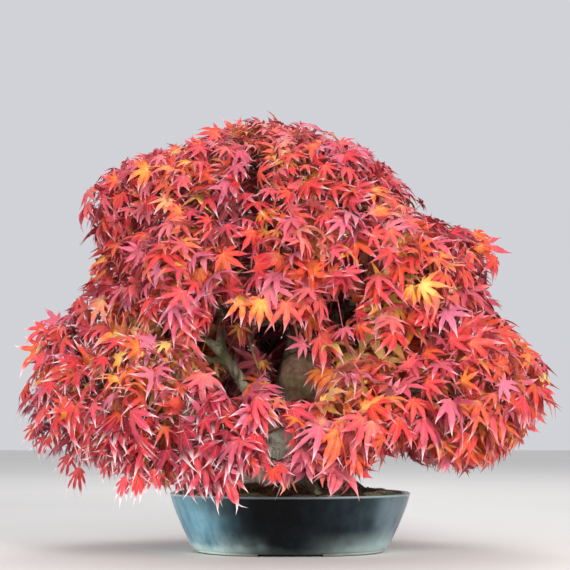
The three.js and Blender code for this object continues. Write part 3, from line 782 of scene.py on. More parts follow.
# Low domes of moss, each with short tufts all over it
def make_moss(material):
    rng = np.random.default_rng(MOSS_SEED)
    shape, faces = ball(3)
    spike = np.array([[0.34, 0, 0], [-0.17, 0.3, 0], [-0.17, -0.3, 0], [0, 0, 1]])
    spike_faces = np.array([[0, 1, 3], [1, 2, 3], [2, 0, 3]])
    moss = Parts()
    for _ in range(CLUMP_COUNT):
        x, y = soil_spot(rng, 1)
        wide = rng.uniform(*CLUMP_SIZES)
        high = wide * rng.uniform(0.22, 0.36)
        base = [x, y, soil_height(x, y)]
        bumps = np.array([1 + 0.22 * noise.noise(Vector(p) * 2.3 + Vector((x, y, 0))) for p in shape])
        dome = shape * bumps[:, None] * [wide, wide * rng.uniform(0.7, 1), high]
        moss.add(dome + base, faces)
        for _ in range(TUFTS):
            way = rng.normal(size=3)
            way[2] = abs(way[2]) + 0.25
            way /= np.linalg.norm(way)
            root = way * [wide, wide * 0.85, high] * 0.96
            lean = rng.uniform(-0.5, 0.5, 2)
            tuft = spike * [0.8, 0.8, rng.uniform(1.0, 2.2)]
            tuft[3, :2] += lean
            moss.add(tuft + root + base, spike_faces)
    return moss.piece("soil_moss", material)


# The branch from a limb into the middle of a spray, as in the CAD
def stem_path(index):
    _, centre, half, _, limb, share = SPRAYS[index]
    draw = draws_from(STEM_SEED + index)
    limb_points = smooth_path(LIMBS[limb], LIMB_STEPS + 1)
    start = limb_points[round(share * LIMB_STEPS), :3]
    end = np.array(centre, dtype=float) - [0, 0, STEM_END_DROP * half[2]]

    def kink():
        return np.array([draw() - 0.5, draw() - 0.5, draw() - 0.35]) * STEM_KINK

    first = start + (end - start) * STEM_BENDS[0] + kink()
    second = start + (end - start) * STEM_BENDS[1] + kink()
    return [
        (*start, STEM_RADIUS + STEM_FLARE),
        (*first, STEM_RADIUS),
        (*second, (STEM_RADIUS + STEM_TIP_RADIUS) / 2),
        (*end, STEM_TIP_RADIUS),
    ]


# Surface roots round the trunk's base, as in the CAD
def root_paths():
    draw = draws_from(ROOT_SEED)
    middle_x, middle_y = LIMBS["trunk"][0][:2]
    paths = []
    for i in range(ROOT_COUNT):
        angle = (i + 0.5 * draw()) / ROOT_COUNT * 2 * math.pi
        reach = ROOT_REACH * (0.8 + 0.45 * draw())
        thick = 8.5 + 3.5 * draw()
        turn = 0.3 * (draw() - 0.5)

        def at(share, turned, z, radius):
            x = middle_x + math.cos(angle + turned) * reach * share
            y = middle_y + math.sin(angle + turned) * reach * share * ROOT_SQUASH
            return (x, y, z, radius)

        paths.append([
            at(0.38, 0, 88, thick),
            at(0.78, turn / 2, 70, thick * 0.85),
            at(1.15, turn, 64.5, thick * 0.6),
            at(1.5, turn * 1.6, 56, thick * 0.3),
        ])
    return paths


WOOD_VOXEL = 1.25
WOOD_FACE_SHARE = 0.22
RING_GAP = 4
TRUNK_SIDES = 40
LIMB_SIDES = 16
ROOT_SIDES = 14
STEM_SIDES = 10
# The trunk's axis, and how far from it the bark is at its roughest
TRUNK_X = 8
TRUNK_Y = 3
TRUNK_REACH = 60
LIMB_ROUGHNESS = 0.35
RIB_DEPTH = 0.065
# Bark relief, as [height, fineness across, fineness along, start of the noise]: ridges, knobs and fine grain
BARK_RELIEF = [(0.75, 0.22, 0.05, 0), (1.1, 0.07, 0.06, 9), (0.3, 0.6, 0.16, 0)]
# The scar, from its middle outwards as shares of its size: dished to this depth, with an edge rolled up
DISH_END = 0.72
DISH_DEPTH = 1.4
EDGE_REACH = 0.86
EDGE_HEIGHT = 0.4
EDGE_WIDTH = 0.14


# The trunk's ribs, three broad and seven finer ones, which wind a little and fade upwards
def ribbed(angle, ring):
    height = (ring / ring.max())[:, None]
    wave = np.sin(3 * angle[None] + 2.4 * height) + 0.5 * np.sin(7 * angle[None] - 3 * height)
    return 1 + RIB_DEPTH * wave * (1 - height / 2)


# The tree without its leaves, as one skin round all its limbs and the scar's callus, carved and thinned
def make_wood(material):
    parts = Parts()

    def add_limb(rows, sides, flute=None):
        length = sum(math.dist(a[:3], b[:3]) for a, b in zip(rows, rows[1:]))
        path = smooth_path(rows, max(6, round(length / RING_GAP)))
        parts.add(*tubes(path[None, :, :3], path[None, :, 3], sides, flute))

    for name, rows in LIMBS.items():
        if name == "trunk":
            add_limb(rows, TRUNK_SIDES, ribbed)
        else:
            add_limb(rows, LIMB_SIDES)
    for rows in root_paths():
        add_limb(rows, ROOT_SIDES)
    for index in range(len(SPRAYS)):
        add_limb(stem_path(index), STEM_SIDES)
    callus, callus_faces = ball(4)
    size = [SCAR["width"], SCAR["depth"], SCAR["height"]]
    parts.add(callus * size + [SCAR["x"], SCAR["y"], SCAR["z"]], callus_faces)
    wood = parts.piece("trunk_bark", material)
    remesh = wood.modifiers.new("merge", "REMESH")
    remesh.mode = "VOXEL"
    remesh.voxel_size = WOOD_VOXEL * MM
    remesh.use_smooth_shade = True
    ease = wood.modifiers.new("ease", "SMOOTH")
    ease.factor = 0.5
    ease.iterations = 5
    apply_modifiers(wood)
    carve(wood)
    thin = wood.modifiers.new("thin", "DECIMATE")
    thin.ratio = WOOD_FACE_SHARE
    apply_modifiers(wood)
    return wood


# Bark relief on the trunk and limbs, and the dished face of the scar with its rolled edge
def carve(wood):
    points = vertex_rows(wood, "co") / MM
    out = np.zeros(len(points))
    for i, (x, y, z) in enumerate(points):
        for high, across, along, start in BARK_RELIEF:
            out[i] += high * noise.noise(Vector((x * across, y * across, z * along + start)))
    middle = [SCAR["x"], SCAR["y"] - SCAR["depth"], SCAR["z"]]
    reach = np.linalg.norm((points - middle) / [SCAR["width"], CARVED_DEPTH, SCAR["height"]], axis=1)
    near_trunk = np.hypot(points[:, 0] - TRUNK_X, points[:, 1] - TRUNK_Y) < TRUNK_REACH
    healed = np.clip((0.95 - reach) / 0.2, 0, 1)
    out = out * np.where(near_trunk, 1, LIMB_ROUGHNESS) * (1 + 0.6 * healed)
    out -= DISH_DEPTH * np.clip((DISH_END - reach) / 0.3, 0, 1)
    out += EDGE_HEIGHT * np.exp(-(((reach - EDGE_REACH) / EDGE_WIDTH) ** 2))
    points += vertex_rows(wood, "normal") * out[:, None]
    wood.data.vertices.foreach_set("co", (points * MM).ravel())
    wood.data.update()


# The leaf: five long lobes and two small ones by the stalk, each [angle, length, half width] as shares of
# the leaf's length. The lobes on its right mirror the ones on its left.
RIGHT_LOBES = [(42, 0.93, 0.11), (84, 0.72, 0.085), (126, 0.34, 0.045)]
LEFT_LOBES = [(-angle, length, width) for angle, length, width in reversed(RIGHT_LOBES)]
LOBES = [*LEFT_LOBES, (0, 1.0, 0.115), *RIGHT_LOBES]
MIDDLE_LOBE = 3
LONG_LOBE = 0.5
NOTCH_REACH = 0.31
SHORT_NOTCH_REACH = 0.18
STALK_NOTCH = (150, 0.07)
# Forms of leaf, each the half outline of a long lobe from its notch to its tip, as [share of its length,
# share of its half width], and the points of its rib. Outer leaves are toothed, the ones below them plain and
# the shaded ones plainer. The two short lobes are the same on all.
LEAF_FORMS = [
    ([(0.4, 0.84), (0.52, 1), (0.56, 0.84), (0.67, 0.7), (0.71, 0.5), (0.85, 0.18)], [0.48, 0.76]),
    ([(0.42, 0.88), (0.55, 1), (0.72, 0.52), (0.87, 0.17)], [0.5, 0.78]),
    ([(0.48, 0.95), (0.72, 0.62)], [0.6]),
]
SHORT = [(0.6, 1)]
SHORT_RIB = [0.6]


# Triangles between a half lobe's rim and its rib, from the notch to the tip
def strip(rim, rib):
    i, k = 0, 0
    while i < len(rim) - 1:
        if k < len(rib) - 1 and rib[k + 1][2] < rim[i + 1][2]:
            yield rim[i], rib[k + 1], rib[k]
            k += 1
        else:
            yield rim[i], rim[i + 1], rib[k]
            i += 1


# Rows [angle, reach, across, lobe, on the rim, on the underside], the triangles, each corner's (u, v), and
# which triangles look down
def leaf_template(outline, ribs):
    rows, faces, marks = [], [], []

    def point(angle, reach, across, lobe, rim):
        rows.append((angle, reach, across, lobe, rim, 0))
        return len(rows) - 1

    hub = point(0, 0, 0, MIDDLE_LOBE, 0)
    last_angle, last_reach = STALK_NOTCH
    angles = [-last_angle, *((a[0] + b[0]) / 2 for a, b in zip(LOBES, LOBES[1:])), last_angle]
    reaches = [last_reach, SHORT_NOTCH_REACH, *[NOTCH_REACH] * 4, SHORT_NOTCH_REACH, last_reach]
    notches = [point(angle, reach, 0, MIDDLE_LOBE, 1) for angle, reach in zip(angles, reaches)]
    for i, (angle, length, width) in enumerate(LOBES):
        long = length > LONG_LOBE
        tip = (point(angle, length, 0, i, 1), 0, 1)
        rib = [(hub, 0, 0)]
        for share in ribs if long else SHORT_RIB:
            rib.append((point(angle, share * length, 0, i, 0), 0, share))
        for hand, notch in ((-1, i), (1, i + 1)):
            rim = [(notches[notch], hand, reaches[notch])]
            for share, wide in outline if long else SHORT:
                rim.append((point(angle, share * length, hand * wide * width, i, 1), hand, share))
            for corners in strip([*rim, tip], rib):
                corners = corners[::hand]
                faces.append([corner[0] for corner in corners])
                marks.append([(0.5 + 0.5 * corner[1], corner[2]) for corner in corners])
    under = {i: len(rows) + n for n, i in enumerate(i for i, row in enumerate(rows) if not row[4])}
    rows += [(*rows[i][:4], 0, 1) for i in under]
    top_count = len(faces)
    faces += [[under.get(v, v) for v in face][::-1] for face in faces[:top_count]]
    marks += [mark[::-1] for mark in marks[:top_count]]
    below = np.arange(len(faces)) >= top_count
    return np.array(rows, dtype=float), np.array(faces), np.array(marks, dtype=float), below


LEAF_SHAPES = [leaf_template(*form) for form in LEAF_FORMS]
LEAF_THICKNESS = 0.35
# How the lobes of a leaf differ: their turn in degrees by the notches and how much more at the tips, their
# length, droop and curl. A leaf folds up along its ribs, and one that droops looks shorter.
NOTCH_TURN = 3
TIP_TURN = 10
STRETCH = 0.09
DROOP_SPREAD = 0.35
CURL = 0.11
FOLDS = (0.15, 0.65)
DROOP_LIMITS = (-0.1, 1.1)
DROOP_SHORTENING = 0.26


# Leaves of one shape as an array of points. Every argument after rows is an array with one row a leaf.
def shape_leaves(rng, rows, hub, ahead, up, length, droop, closing, spread, slim):
    n = len(hub)
    angle, reach, across, lobe, rim, under = rows.T
    lobes = lobe.astype(int)
    own = rng.normal(0, 1, (n, len(LOBES), 4))
    free = np.clip((reach - NOTCH_REACH) / (1 - NOTCH_REACH), 0, 1)
    own_turn = (NOTCH_TURN + TIP_TURN * free**1.5) * own[:, lobes, 0] * (free > 0)
    turn = np.radians(angle[None] * spread[:, None] + own_turn)
    stretch = 1 + STRETCH * own[:, lobes, 1] * free
    out = reach[None] * stretch
    across = across[None] * slim[:, None]
    x = out * np.sin(turn) + across * np.cos(turn)
    y = out * np.cos(turn) - across * np.sin(turn)
    bend = np.clip(droop[:, None] * (1 + DROOP_SPREAD * own[:, lobes, 2]), *DROOP_LIMITS)
    fold = rng.uniform(*FOLDS, (n, 1))
    z = fold * np.abs(across) - bend * out**2.2 - CURL * own[:, lobes, 3] * free**2
    slope = closing[:, None]
    z -= slope * np.abs(x) / np.sqrt(1 + slope**2)
    x = x / np.sqrt(1 + slope**2)
    y = y * (1 - DROOP_SHORTENING * bend * out)
    side = np.cross(ahead, up)
    size = length[:, None]
    at = hub[:, None] + side[:, None] * (x * size)[..., None] + ahead[:, None] * (y * size)[..., None]
    return at + up[:, None] * (z * size - under * LEAF_THICKNESS)[..., None]


# The crown's outer surface: the sprays' ellipsoids, blended where they meet
CENTRES = np.array([spray[1] for spray in SPRAYS], dtype=float)
HALVES = np.array([spray[2] for spray in SPRAYS], dtype=float)
OUTER = len(SPRAYS) - INNER_COUNT
BLEND = 1.8
FULLNESS = 1.0
# The surface is searched for between these shares of a spray's half size, by halving
SEARCH = (0.8, 1.4)
HALVINGS = 14
CROWN_MIDDLE = np.array([-8, 0, 0])
DOME_CENTRE = np.array([0, 0, 150.0])
DOME_HALF = np.array([240, 190, 260.0])
# Gaps in the leaves, [x, z, half width, half height] as the camera sees them on the plane through the trunk,
# and the depth that leaves keep behind: the front branch, its fork, the hollow, the scar, a glimpse of the
# trunk's foot and the right leader
GAPS = [
    (-54, 172, 15, 23, -58),
    (-65, 212, 8, 22, -60),
    (-78, 196, 12, 8, -60),
    (-13, 205, 17, 14, -20),
    (8, 171, 27, 25, -30),
    (-13, 101, 7, 14, -30),
    (50, 231, 10, 10, -14),
]
# The lowest that leaves hang on each side, in the same view
SKIRT = [
    (-262, 98), (-237, 82), (-190, 72), (-155, 55), (-110, 50), (-61, 40), (-38, 66), (-2, 72), (22, 62),
    (50, 50), (80, 66), (115, 90), (150, 64), (198, 73), (235, 107), (270, 122),
]
# The crown's sides in the same view, [z, left x, right x], which the outermost leaves stand out of
SIDES = [
    (77, -205, 194), (91, -244, 218), (106, -256, 226), (121, -258, 242), (135, -256, 262),
    (160, -248, 258), (190, -250, 236), (209, -250, 226), (225, -228, 214), (245, -208, 200),
    (265, -198, 194), (282, -194, 204), (311, -200, 192), (326, -200, 134), (345, -194, 124),
    (370, -178, 100), (385, -158, 80), (400, -116, 68),
]
GAP_STEP = 5
GAP_STEPS = 7
POT_CLEARANCE = 5
MOST_RISE = 42
RISE_SPREAD = 9
SIDE_ALLOWANCE = 13
MOST_INWARD = 16
CROWN_TOP = 423


def unit(v):
    return v / (np.linalg.norm(v, axis=-1, keepdims=True) + 1e-9)


# How much each spray weighs in at each point, and the point's place in the spray
def pull(points):
    off = (points[:, None] - CENTRES[None, :OUTER]) / HALVES[None, :OUTER]
    weight = np.exp(-BLEND * ((off**2).sum(2) - 1))
    return weight, off


# The x and z where a line from the camera through each point meets the plane through the trunk. Points
# behind that plane are seen from behind in the same way if mirrored is set.
def seen(points, mirrored=False):
    depth = -np.abs(points[..., 1]) if mirrored else points[..., 1]
    scale = CAMERA_DISTANCE / (CAMERA_DISTANCE + depth)
    return CAMERA_X + (points[..., 0] - CAMERA_X) * scale, CAMERA_Z + (points[..., 2] - CAMERA_Z) * scale


# Which leaves cover a gap
def covering(blades, gap_x, gap_z, half_x, half_z, depth):
    x, z = seen(blades)
    inside = ((x - gap_x) / half_x) ** 2 + ((z - gap_z) / half_z) ** 2 < 1
    return (inside & (blades[..., 1] < depth)).any(axis=1)


def covering_any(blades):
    return np.any([covering(blades, *gap) for gap in GAPS], axis=0)


# Moves the leaves that cover a gap towards its edge
def clear_gaps(blades):
    for _ in range(GAP_STEPS):
        for gap in GAPS:
            covers = covering(blades, *gap)
            x, z = seen(blades)
            away = unit(np.stack([x.mean(1) - gap[0], np.zeros(len(x)), z.mean(1) - gap[1]], 1))
            blades[covers] += GAP_STEP * away[covers][:, None]


# How far each leaf has to move in from the crown's sides
def inward_needed(blades):
    x, z = seen(blades, mirrored=True)
    heights, lefts, rights = zip(*SIDES)
    past_left = (np.interp(z, heights, lefts) - x).max(axis=1).clip(0)
    past_right = (x - np.interp(z, heights, rights)).max(axis=1).clip(0)
    return past_left - past_right


# How far each leaf has to rise to end above the skirt's line and to be clear of the pot and soil
def rise_needed(blades):
    x, z = seen(blades, mirrored=True)
    below_skirt = np.interp(x, *zip(*SKIRT)) - z
    along = blades[..., 0] / (POT_LENGTH / 2 + POT_CLEARANCE)
    deep = blades[..., 1] / (POT_DEPTH / 2 + POT_CLEARANCE)
    reach = np.hypot(along, deep)
    into_pot = np.where(reach < 1, SOIL_CROWN + POT_CLEARANCE - blades[..., 2], 0)
    return np.maximum(below_skirt, into_pot).max(axis=1).clip(0)


# Points of the crown's surface that belong to one spray, with the outward directions there
def surface_points(index, count):
    i = np.arange(count) + 0.5
    z = 1 - 2 * i / count
    ring = np.sqrt(1 - z**2)
    golden = math.pi * (3 - math.sqrt(5))
    ways = np.stack([ring * np.cos(golden * i), ring * np.sin(golden * i), z], 1) * HALVES[index]
    low, high = (np.full(count, share) for share in SEARCH)
    open_end = pull(CENTRES[index] + ways * high[:, None])[0].sum(1) < FULLNESS
    for _ in range(HALVINGS):
        mid = (low + high) / 2
        inside = pull(CENTRES[index] + ways * mid[:, None])[0].sum(1) > FULLNESS
        low, high = np.where(inside, mid, low), np.where(inside, high, mid)
    points = CENTRES[index] + ways * low[:, None]
    weight, off = pull(points)
    mine = weight.argmax(1) == index
    normal = (weight[..., None] * off / HALVES[None, :OUTER]).sum(1)
    normal /= np.linalg.norm(normal, axis=1, keepdims=True)
    keep = open_end & mine
    return points[keep], normal[keep]


# Keeps points, in a mixed order, that lie at least gap apart
def thin_out(points, gap, rng):
    kept = np.empty((0, 3))
    chosen = []
    for i in rng.permutation(len(points)):
        if len(kept) and (((kept - points[i]) ** 2).sum(1) < gap[i] ** 2).any():
            continue
        kept = np.vstack([kept, points[i]])
        chosen.append(i)
    return np.array(chosen, dtype=int)


# Layers of leaves: how far out of the spray the leaf sits, the gap between leaves, how much its colour moves
# to orange, and its shape. The last two rows are for the leaves that fill the inside and for the long ones
# that hang from the lower edges.
LAYERS = [
    (0.92, 15.5, 0.0, 0),
    (0.83, 17, 0.08, 1),
    (0.7, 20, 0.22, 1),
    (0.5, 24, 0.34, 2),
    (None, 19, 0.0, 2),
    (0.96, 21, -0.06, 0),
]
COATS = 4
FILL = 4
FRINGE = 5
FRINGE_DROP = 14
FRINGE_REACH = 8
LILAC_SHARE = 0.09
# Painted shade: the dark tint of the filling leaves behind the trunk's plane, or less far in front of it than
# this and right of this x
SHADED_FILL_TINT = 0.12
SHADED_FILL_BEHIND = -45
SHADED_FILL_RIGHT_OF = -48
LEAF_HEIGHTS = (150, 250, 340)
LEAF_LENGTHS = (27, 24.5, 20.5)
PLACE_SEED = 7
# The least that a place faces outwards, but for the coats that also line the parts that face inwards, and by
# how much leaves are further apart where they face less than sideways
LEAST_OUTWARD = -0.3
LINING_COATS = (2, 3)
SIDEWAYS = 0.15
SPARSER = 0.35
# How far the underside of a low edge faces down where the fringe hangs
FRINGE_FACING = (-0.8, -0.05)
SURFACE_TRIES = 1500
# Shaded leaves also fill the inside of the crown: the centre, half size and number of tries of each filling
FILLINGS = [((0, 13, 220), (168, 100, 92), 2600), ((-40, 2, 328), (126, 70, 42), 900)]
INNER_TRIES = 600
BARE_REACH = 30
# The outer layers leave hollows of about this size, where the noise is under this level
HOLLOW_SIZE = 34
HOLLOW_LEVEL = -0.3


# Leaves are smaller towards the top of the crown
def leaf_length(z):
    return np.interp(z, LEAF_HEIGHTS, LEAF_LENGTHS)


# Places in the coats of leaves over the crown's surface, and in the fringe of its lower edges
def surface_places(rng):
    surfaces = [surface_points(i, SURFACE_TRIES) for i in range(OUTER)]
    owner = np.concatenate([np.full(len(p), i) for i, (p, _) in enumerate(surfaces)])
    surface, normal = (np.concatenate(rows) for rows in zip(*surfaces))
    dome = unit((surface - DOME_CENTRE) / DOME_HALF**2)
    outward = (normal * dome).sum(1)
    edges = np.array([name.startswith("low") or name == "crown_left" for name, *_ in SPRAYS])[owner]
    edges &= (normal[:, 2] > FRINGE_FACING[0]) & (normal[:, 2] < FRINGE_FACING[1])
    found = []
    for layer in (*range(COATS), FRINGE):
        share, gap = LAYERS[layer][:2]
        points = CENTRES[owner] + (surface - CENTRES[owner]) * share
        wanted = (outward > LEAST_OUTWARD) | (layer in LINING_COATS)
        if layer == FRINGE:
            wanted &= edges
        if layer < 2:
            lumps = np.array([noise.noise(Vector(p) / HOLLOW_SIZE) for p in surface])
            wanted &= lumps > HOLLOW_LEVEL - 0.12 * layer
        spots = np.flatnonzero(wanted)
        gaps = gap * (1 + SPARSER * (outward[spots] < SIDEWAYS))
        gaps = gaps * leaf_length(points[spots, 2]) / LEAF_LENGTHS[0]
        chosen = spots[thin_out(points[spots], gaps, rng)]
        found += [(owner[i], points[i], normal[i], layer) for i in chosen]
    return found


# Places of the leaves that fill the inner sprays and the inside of the crown, but for a bare core
def filling_places(rng):
    around = unit(rng.normal(size=(INNER_TRIES, 3))) * rng.uniform(0.35, 1, (INNER_TRIES, 1))
    pick = rng.integers(OUTER, len(SPRAYS), INNER_TRIES)
    points = CENTRES[pick] + around * HALVES[pick]
    for centre, half, tries in FILLINGS:
        offsets = unit(rng.normal(size=(tries, 3))) * rng.uniform(0.25, 1, (tries, 1)) ** 0.6
        points = np.concatenate([centre + offsets * half, points])
    bare = np.hypot(points[:, 0] - TRUNK_X, points[:, 1] - TRUNK_Y) < BARE_REACH
    points = points[~bare]
    points = points[thin_out(points, np.full(len(points), LAYERS[FILL][1]), rng)]
    nearest = OUTER + ((points[:, None] - CENTRES[None, OUTER:]) ** 2).sum(2).argmin(1)
    headings = unit(points * [1, 1, 0.6] + [0, 0, 20] + rng.normal(0, 30, points.shape))
    return [(owner, point, heading, FILL) for owner, point, heading in zip(nearest, points, headings)]


# Where every leaf sits: rows of spray, hub, outward direction and layer
def leaf_places():
    rng = np.random.default_rng(PLACE_SEED)
    return surface_places(rng) + filling_places(rng)


# The level direction away from the crown's middle
def away_from_middle(hub):
    return unit(hub * [1, 1, 0] - CROWN_MIDDLE)


# Which way each leaf hangs: down and out over the crown's surface, flatter on top
def leaf_frames(rng, hub, normal):
    n = len(hub)
    radial = away_from_middle(hub)
    down = np.array([0, 0, -1.0]) + 0.6 * radial
    level = np.where(normal[:, 2:] < 0, normal * [1, 1, 0.2], normal)
    outward = unit(level + 0.25 * radial)
    fall = unit(down - outward * (down * outward).sum(1, keepdims=True))
    across = np.cross(outward, fall)
    swing = rng.normal(0, 0.68, (n, 1))
    heading = fall * np.cos(swing) + across * np.sin(swing)
    top = np.clip(normal[:, 2:], 0, 1)
    under = np.clip(-normal[:, 2:], 0, 1)
    lift = np.radians(46 - 24 * top - 6 * under) + rng.normal(0, 0.3, (n, 1))
    ahead = unit(heading * np.cos(lift) + outward * np.sin(lift))
    up = unit(outward - ahead * (outward * ahead).sum(1, keepdims=True))
    roll = rng.normal(0, 0.6, (n, 1))
    side = np.cross(ahead, up)
    up = unit(up * np.cos(roll) + side * np.sin(roll))
    return ahead, up, top[:, 0]


# Which way the long leaves of the lower edges hang: down and away from the trunk
def fringe_frames(rng, hub, normal):
    n = len(hub)
    radial = away_from_middle(hub)
    ahead = unit([0, 0, -1.0] + 0.75 * radial + rng.normal(0, 0.22, (n, 3)))
    outward = unit(radial + [0, 0, 0.5] + rng.normal(0, 0.3, (n, 3)))
    up = unit(outward - ahead * (outward * ahead).sum(1, keepdims=True))
    return ahead, up


# Quadratic curves with the given number of points
def bezier(start, control, end, steps):
    t = np.linspace(0, 1, steps)[None, :, None]
    return (1 - t) ** 2 * start[:, None] + 2 * t * (1 - t) * control[:, None] + t**2 * end[:, None]


TWIG_RADII = np.linspace(1.7, 0.6, 7)
TWIG_SIDES = 5
LEAVES_A_TWIG = 6
STALK_RADII = [0.42, 0.4, 0.4, 0.5]
STALK_SIDES = 3
# The stalks take the colour of this place on a leaf
STALK_MARK = 0.4


# Fine twigs that fan out from the end of a spray's stem to tips spread among its leaves
def twig_paths(rng, stem_end, anchors):
    count = max(3, round(len(anchors) / LEAVES_A_TWIG))
    picked = [int(np.argmax(((anchors - stem_end) ** 2).sum(1)))]
    while len(picked) < count:
        far = np.min([((anchors - anchors[i]) ** 2).sum(1) for i in picked], axis=0)
        picked.append(int(np.argmax(far)))
    tips = anchors[picked]
    start = np.broadcast_to(stem_end, tips.shape)
    control = (start + tips) / 2 + rng.normal(0, 5, tips.shape) + [0, 0, 7]
    return bezier(start, control, tips, len(TWIG_RADII))


# A spray's twigs, and the stalks that join its leaves to them, each as points and faces
def spray_twigs(rng, index, hub, ahead, up):
    stem_end = np.array(stem_path(index)[-1][:3])
    anchors = hub - ahead * 9 - up * rng.uniform(7, 13, (len(hub), 1))
    twigs = twig_paths(rng, stem_end, anchors)
    clear = ~covering_any(twigs)
    twigs = twigs[clear] if clear.any() else twigs[:1]
    joints = twigs[:, 3:].reshape(-1, 3)
    nearest = ((anchors[:, None] - joints[None]) ** 2).sum(2).argmin(1)
    join = joints[nearest]
    reach = np.linalg.norm(hub - join, axis=1, keepdims=True)
    stalks = bezier(hub, hub - ahead * reach * 0.45, join, len(STALK_RADII))
    return tubes(twigs, TWIG_RADII, TWIG_SIDES), tubes(stalks, STALK_RADII, STALK_SIDES)


# Leaves set one by one where they show most: the spray, the x and z of the leaf's hub as the camera sees it
# on the plane through the trunk, its depth, its heading in that view in degrees from straight down to the
# right, how far it tips to the front, its length, tint and painted sheen
SINGLES = [
    ("mid_front", 28, 206, -96, 62, 22, 37, 0.45, 0.12),
    ("mid_front", 14, 200, -100, -78, 15, 20, 0.4, 0.5),
    ("mid_front_right", 29, 174, -62, -22, 25, 23, 0.7, 0),
    ("inner_right", 42, 171, -80, -52, 25, 30, 0.68, 0),
    ("inner_front", -27, 183, -38, 12, 20, 16, 0.84, 0),
    ("mid_front", -4, 240, -172, 6, 22, 30, 0.55, 0.15),
    ("mid_front", -28, 243, -166, -6, 15, 30, 0.68, 0),
    ("mid_front_left", -47, 246, -160, 3, 15, 28, 0.72, 0),
    ("inner_front", -49, 218, -84, -12, 15, 20, 0.84, 0),
    ("mid_front_left", -103, 207, -120, 4, 20, 30, 0.5, 0.25),
    ("low_front_left", -84, 170, -150, -10, 35, 36, 0.5, 0.35),
    ("low_front_middle", -27, 158, -110, 22, 45, 30, 0.3, 0.4),
    ("mid_right", 163, 311, -16, 28, 20, 28, 0.42, 0.55),
    ("mid_right", 182, 309, -12, 52, 10, 25, 0.6, 0),
    ("mid_right", 187, 298, -14, 36, 10, 40, 0.46, 0.25),
    ("low_left", -241, 215, -20, -60, 5, 27, 0.42, 0.1),
    ("low_left", -226, 222, -10, -48, 10, 38, 0.3, 0.5),
    ("low_left", -243, 195, -24, -54, 5, 36, 0.6, 0.05),
    ("low_left", -212, 189, -50, -57, 20, 44, 0.28, 0.6),
    ("low_front_middle", -61, 70, -165, 0, 12, 34, 0.33, 0.1),
    ("low_front_middle", -83, 87, -165, -22, 15, 38, 0.26, 0.15),
    ("low_front_middle", -96, 76, -150, -8, 10, 34, 0.3, 0.3),
    ("low_front", 47, 84, -165, 8, 18, 37, 0.46, 0.35),
    ("low_front", -7, 84, -160, 12, 20, 27, 0.42, 0.5),
    ("low_front", 19, 88, -165, -4, 15, 27, 0.3, 0.4),
    ("crown_apex", -96, 394, -6, 184, 10, 18, 0.3, 0.5),
    ("crown_apex", -74, 401, -4, 172, 5, 17, 0.34, 0.55),
    ("crown_left", -157, 372, -10, 192, 10, 16, 0.3, 0.5),
    ("crown_left", -171, 363, -12, 204, 10, 16, 0.28, 0.45),
    ("low_left", -204, 80, -60, -20, 10, 34, 0.3, 0.1),
    ("low_left", -214, 92, -50, -30, 10, 30, 0.36, 0.1),
    ("low_left", -225, 117, -50, -32, 15, 31, 0.42, 0),
    ("low_left", -237, 110, -20, -32, 5, 29, 0.32, 0.1),
    ("low_left", -246, 122, -10, -44, 5, 28, 0.46, 0),
    ("low_front_left", -178, 88, -110, -8, 10, 27, 0.34, 0.1),
    ("low_front_left", -159, 72, -140, -16, 10, 28, 0.3, 0.1),
    ("low_front_left", -147, 75, -150, -3, 12, 31, 0.36, 0),
    ("low_front_left", -132, 78, -155, 6, 12, 29, 0.32, 0.1),
]


SINGLE_TOP = 0.3
SINGLE_LAYER = 0
# Leaves listed one by one at the low left are closed to thin claws below this height
CLAW_TOP = 130
LEAF_SEED = 3
LILAC_SEED = 900
GROWTH = ("hub", "ahead", "up", "length", "top", "layer", "tint", "painted_sheen")
SHAPING = ("hub", "ahead", "up", "length", "droop", "closing", "spread", "slim")

# Tints, as places on the ramp of leaf colours: each hue's own, and how far they drift to the right, to the
# top as painted shade, at the low left, in patches and leaf by leaf
TINT_BASE = {"crimson": 0.3, "scarlet": 0.46, "orange": 0.72}
RIGHT_DRIFT = 0.03
TOP_SHADE_DRIFT = 0.05
LOW_LEFT_DRIFT = 0.04
PATCH_SIZE = 70
PATCH_DRIFT = 0.36
# How much the painted shade's dark tint drifts in patches
SHADED_FILL_PATCH_DRIFT = 0.25
TINT_SPREAD = 0.11
# Odd leaves: the share and the change of tint of those that are more orange, and of those that are darker
WARM_ODD = (0.09, 0.3)
DARK_ODD = (0.07, 0.18)
# Painted sheen leaf by leaf, more where a leaf lies to the sky, and on the lilac ones
SHEEN_SPREAD = 0.16
SKY_SHEEN = 0.5
MOST_SHEEN = 0.65
LILAC_SHEEN = (0.45, 0.75)


# The listed leaves in one spray, as arrays with one row a leaf
def single_leaves(name):
    rows = np.array([row[1:] for row in SINGLES if row[0] == name], dtype=float).reshape(-1, 8)
    x, z, depth, heading, tip, length, tint, painted_sheen = rows.T
    scale = (CAMERA_DISTANCE + depth) / CAMERA_DISTANCE
    hub = np.stack([CAMERA_X + (x - CAMERA_X) * scale, depth, CAMERA_Z + (z - CAMERA_Z) * scale], 1)
    heading, tip = np.radians(heading), np.radians(tip)
    ahead = np.stack([np.sin(heading) * np.cos(tip), -np.sin(tip), -np.cos(heading) * np.cos(tip)], 1)
    front = np.array([0, -1.0, 0.35])
    up = unit(front - ahead * (ahead @ front)[:, None])
    top = np.full(len(rows), SINGLE_TOP)
    layer = np.full(len(rows), SINGLE_LAYER)
    return dict(zip(GROWTH, (hub, ahead, up, length, top, layer, tint, painted_sheen)))


# How far each leaf is to the low left of the crown, where leaves are slimmer, with stronger painted
# highlights on their tips and less painted sheen
def low_left_share(hub):
    return np.clip(-hub[:, 0] / 160, 0, 1) * np.clip((250 - hub[:, 2]) / 90, 0, 1)


# Leaves that are outermost get all of their painted sheen and painted highlight on the tips, and the others
# half
def shown_share(layer):
    return np.where((layer == 0) | (layer == FRINGE), 1, 0.5)
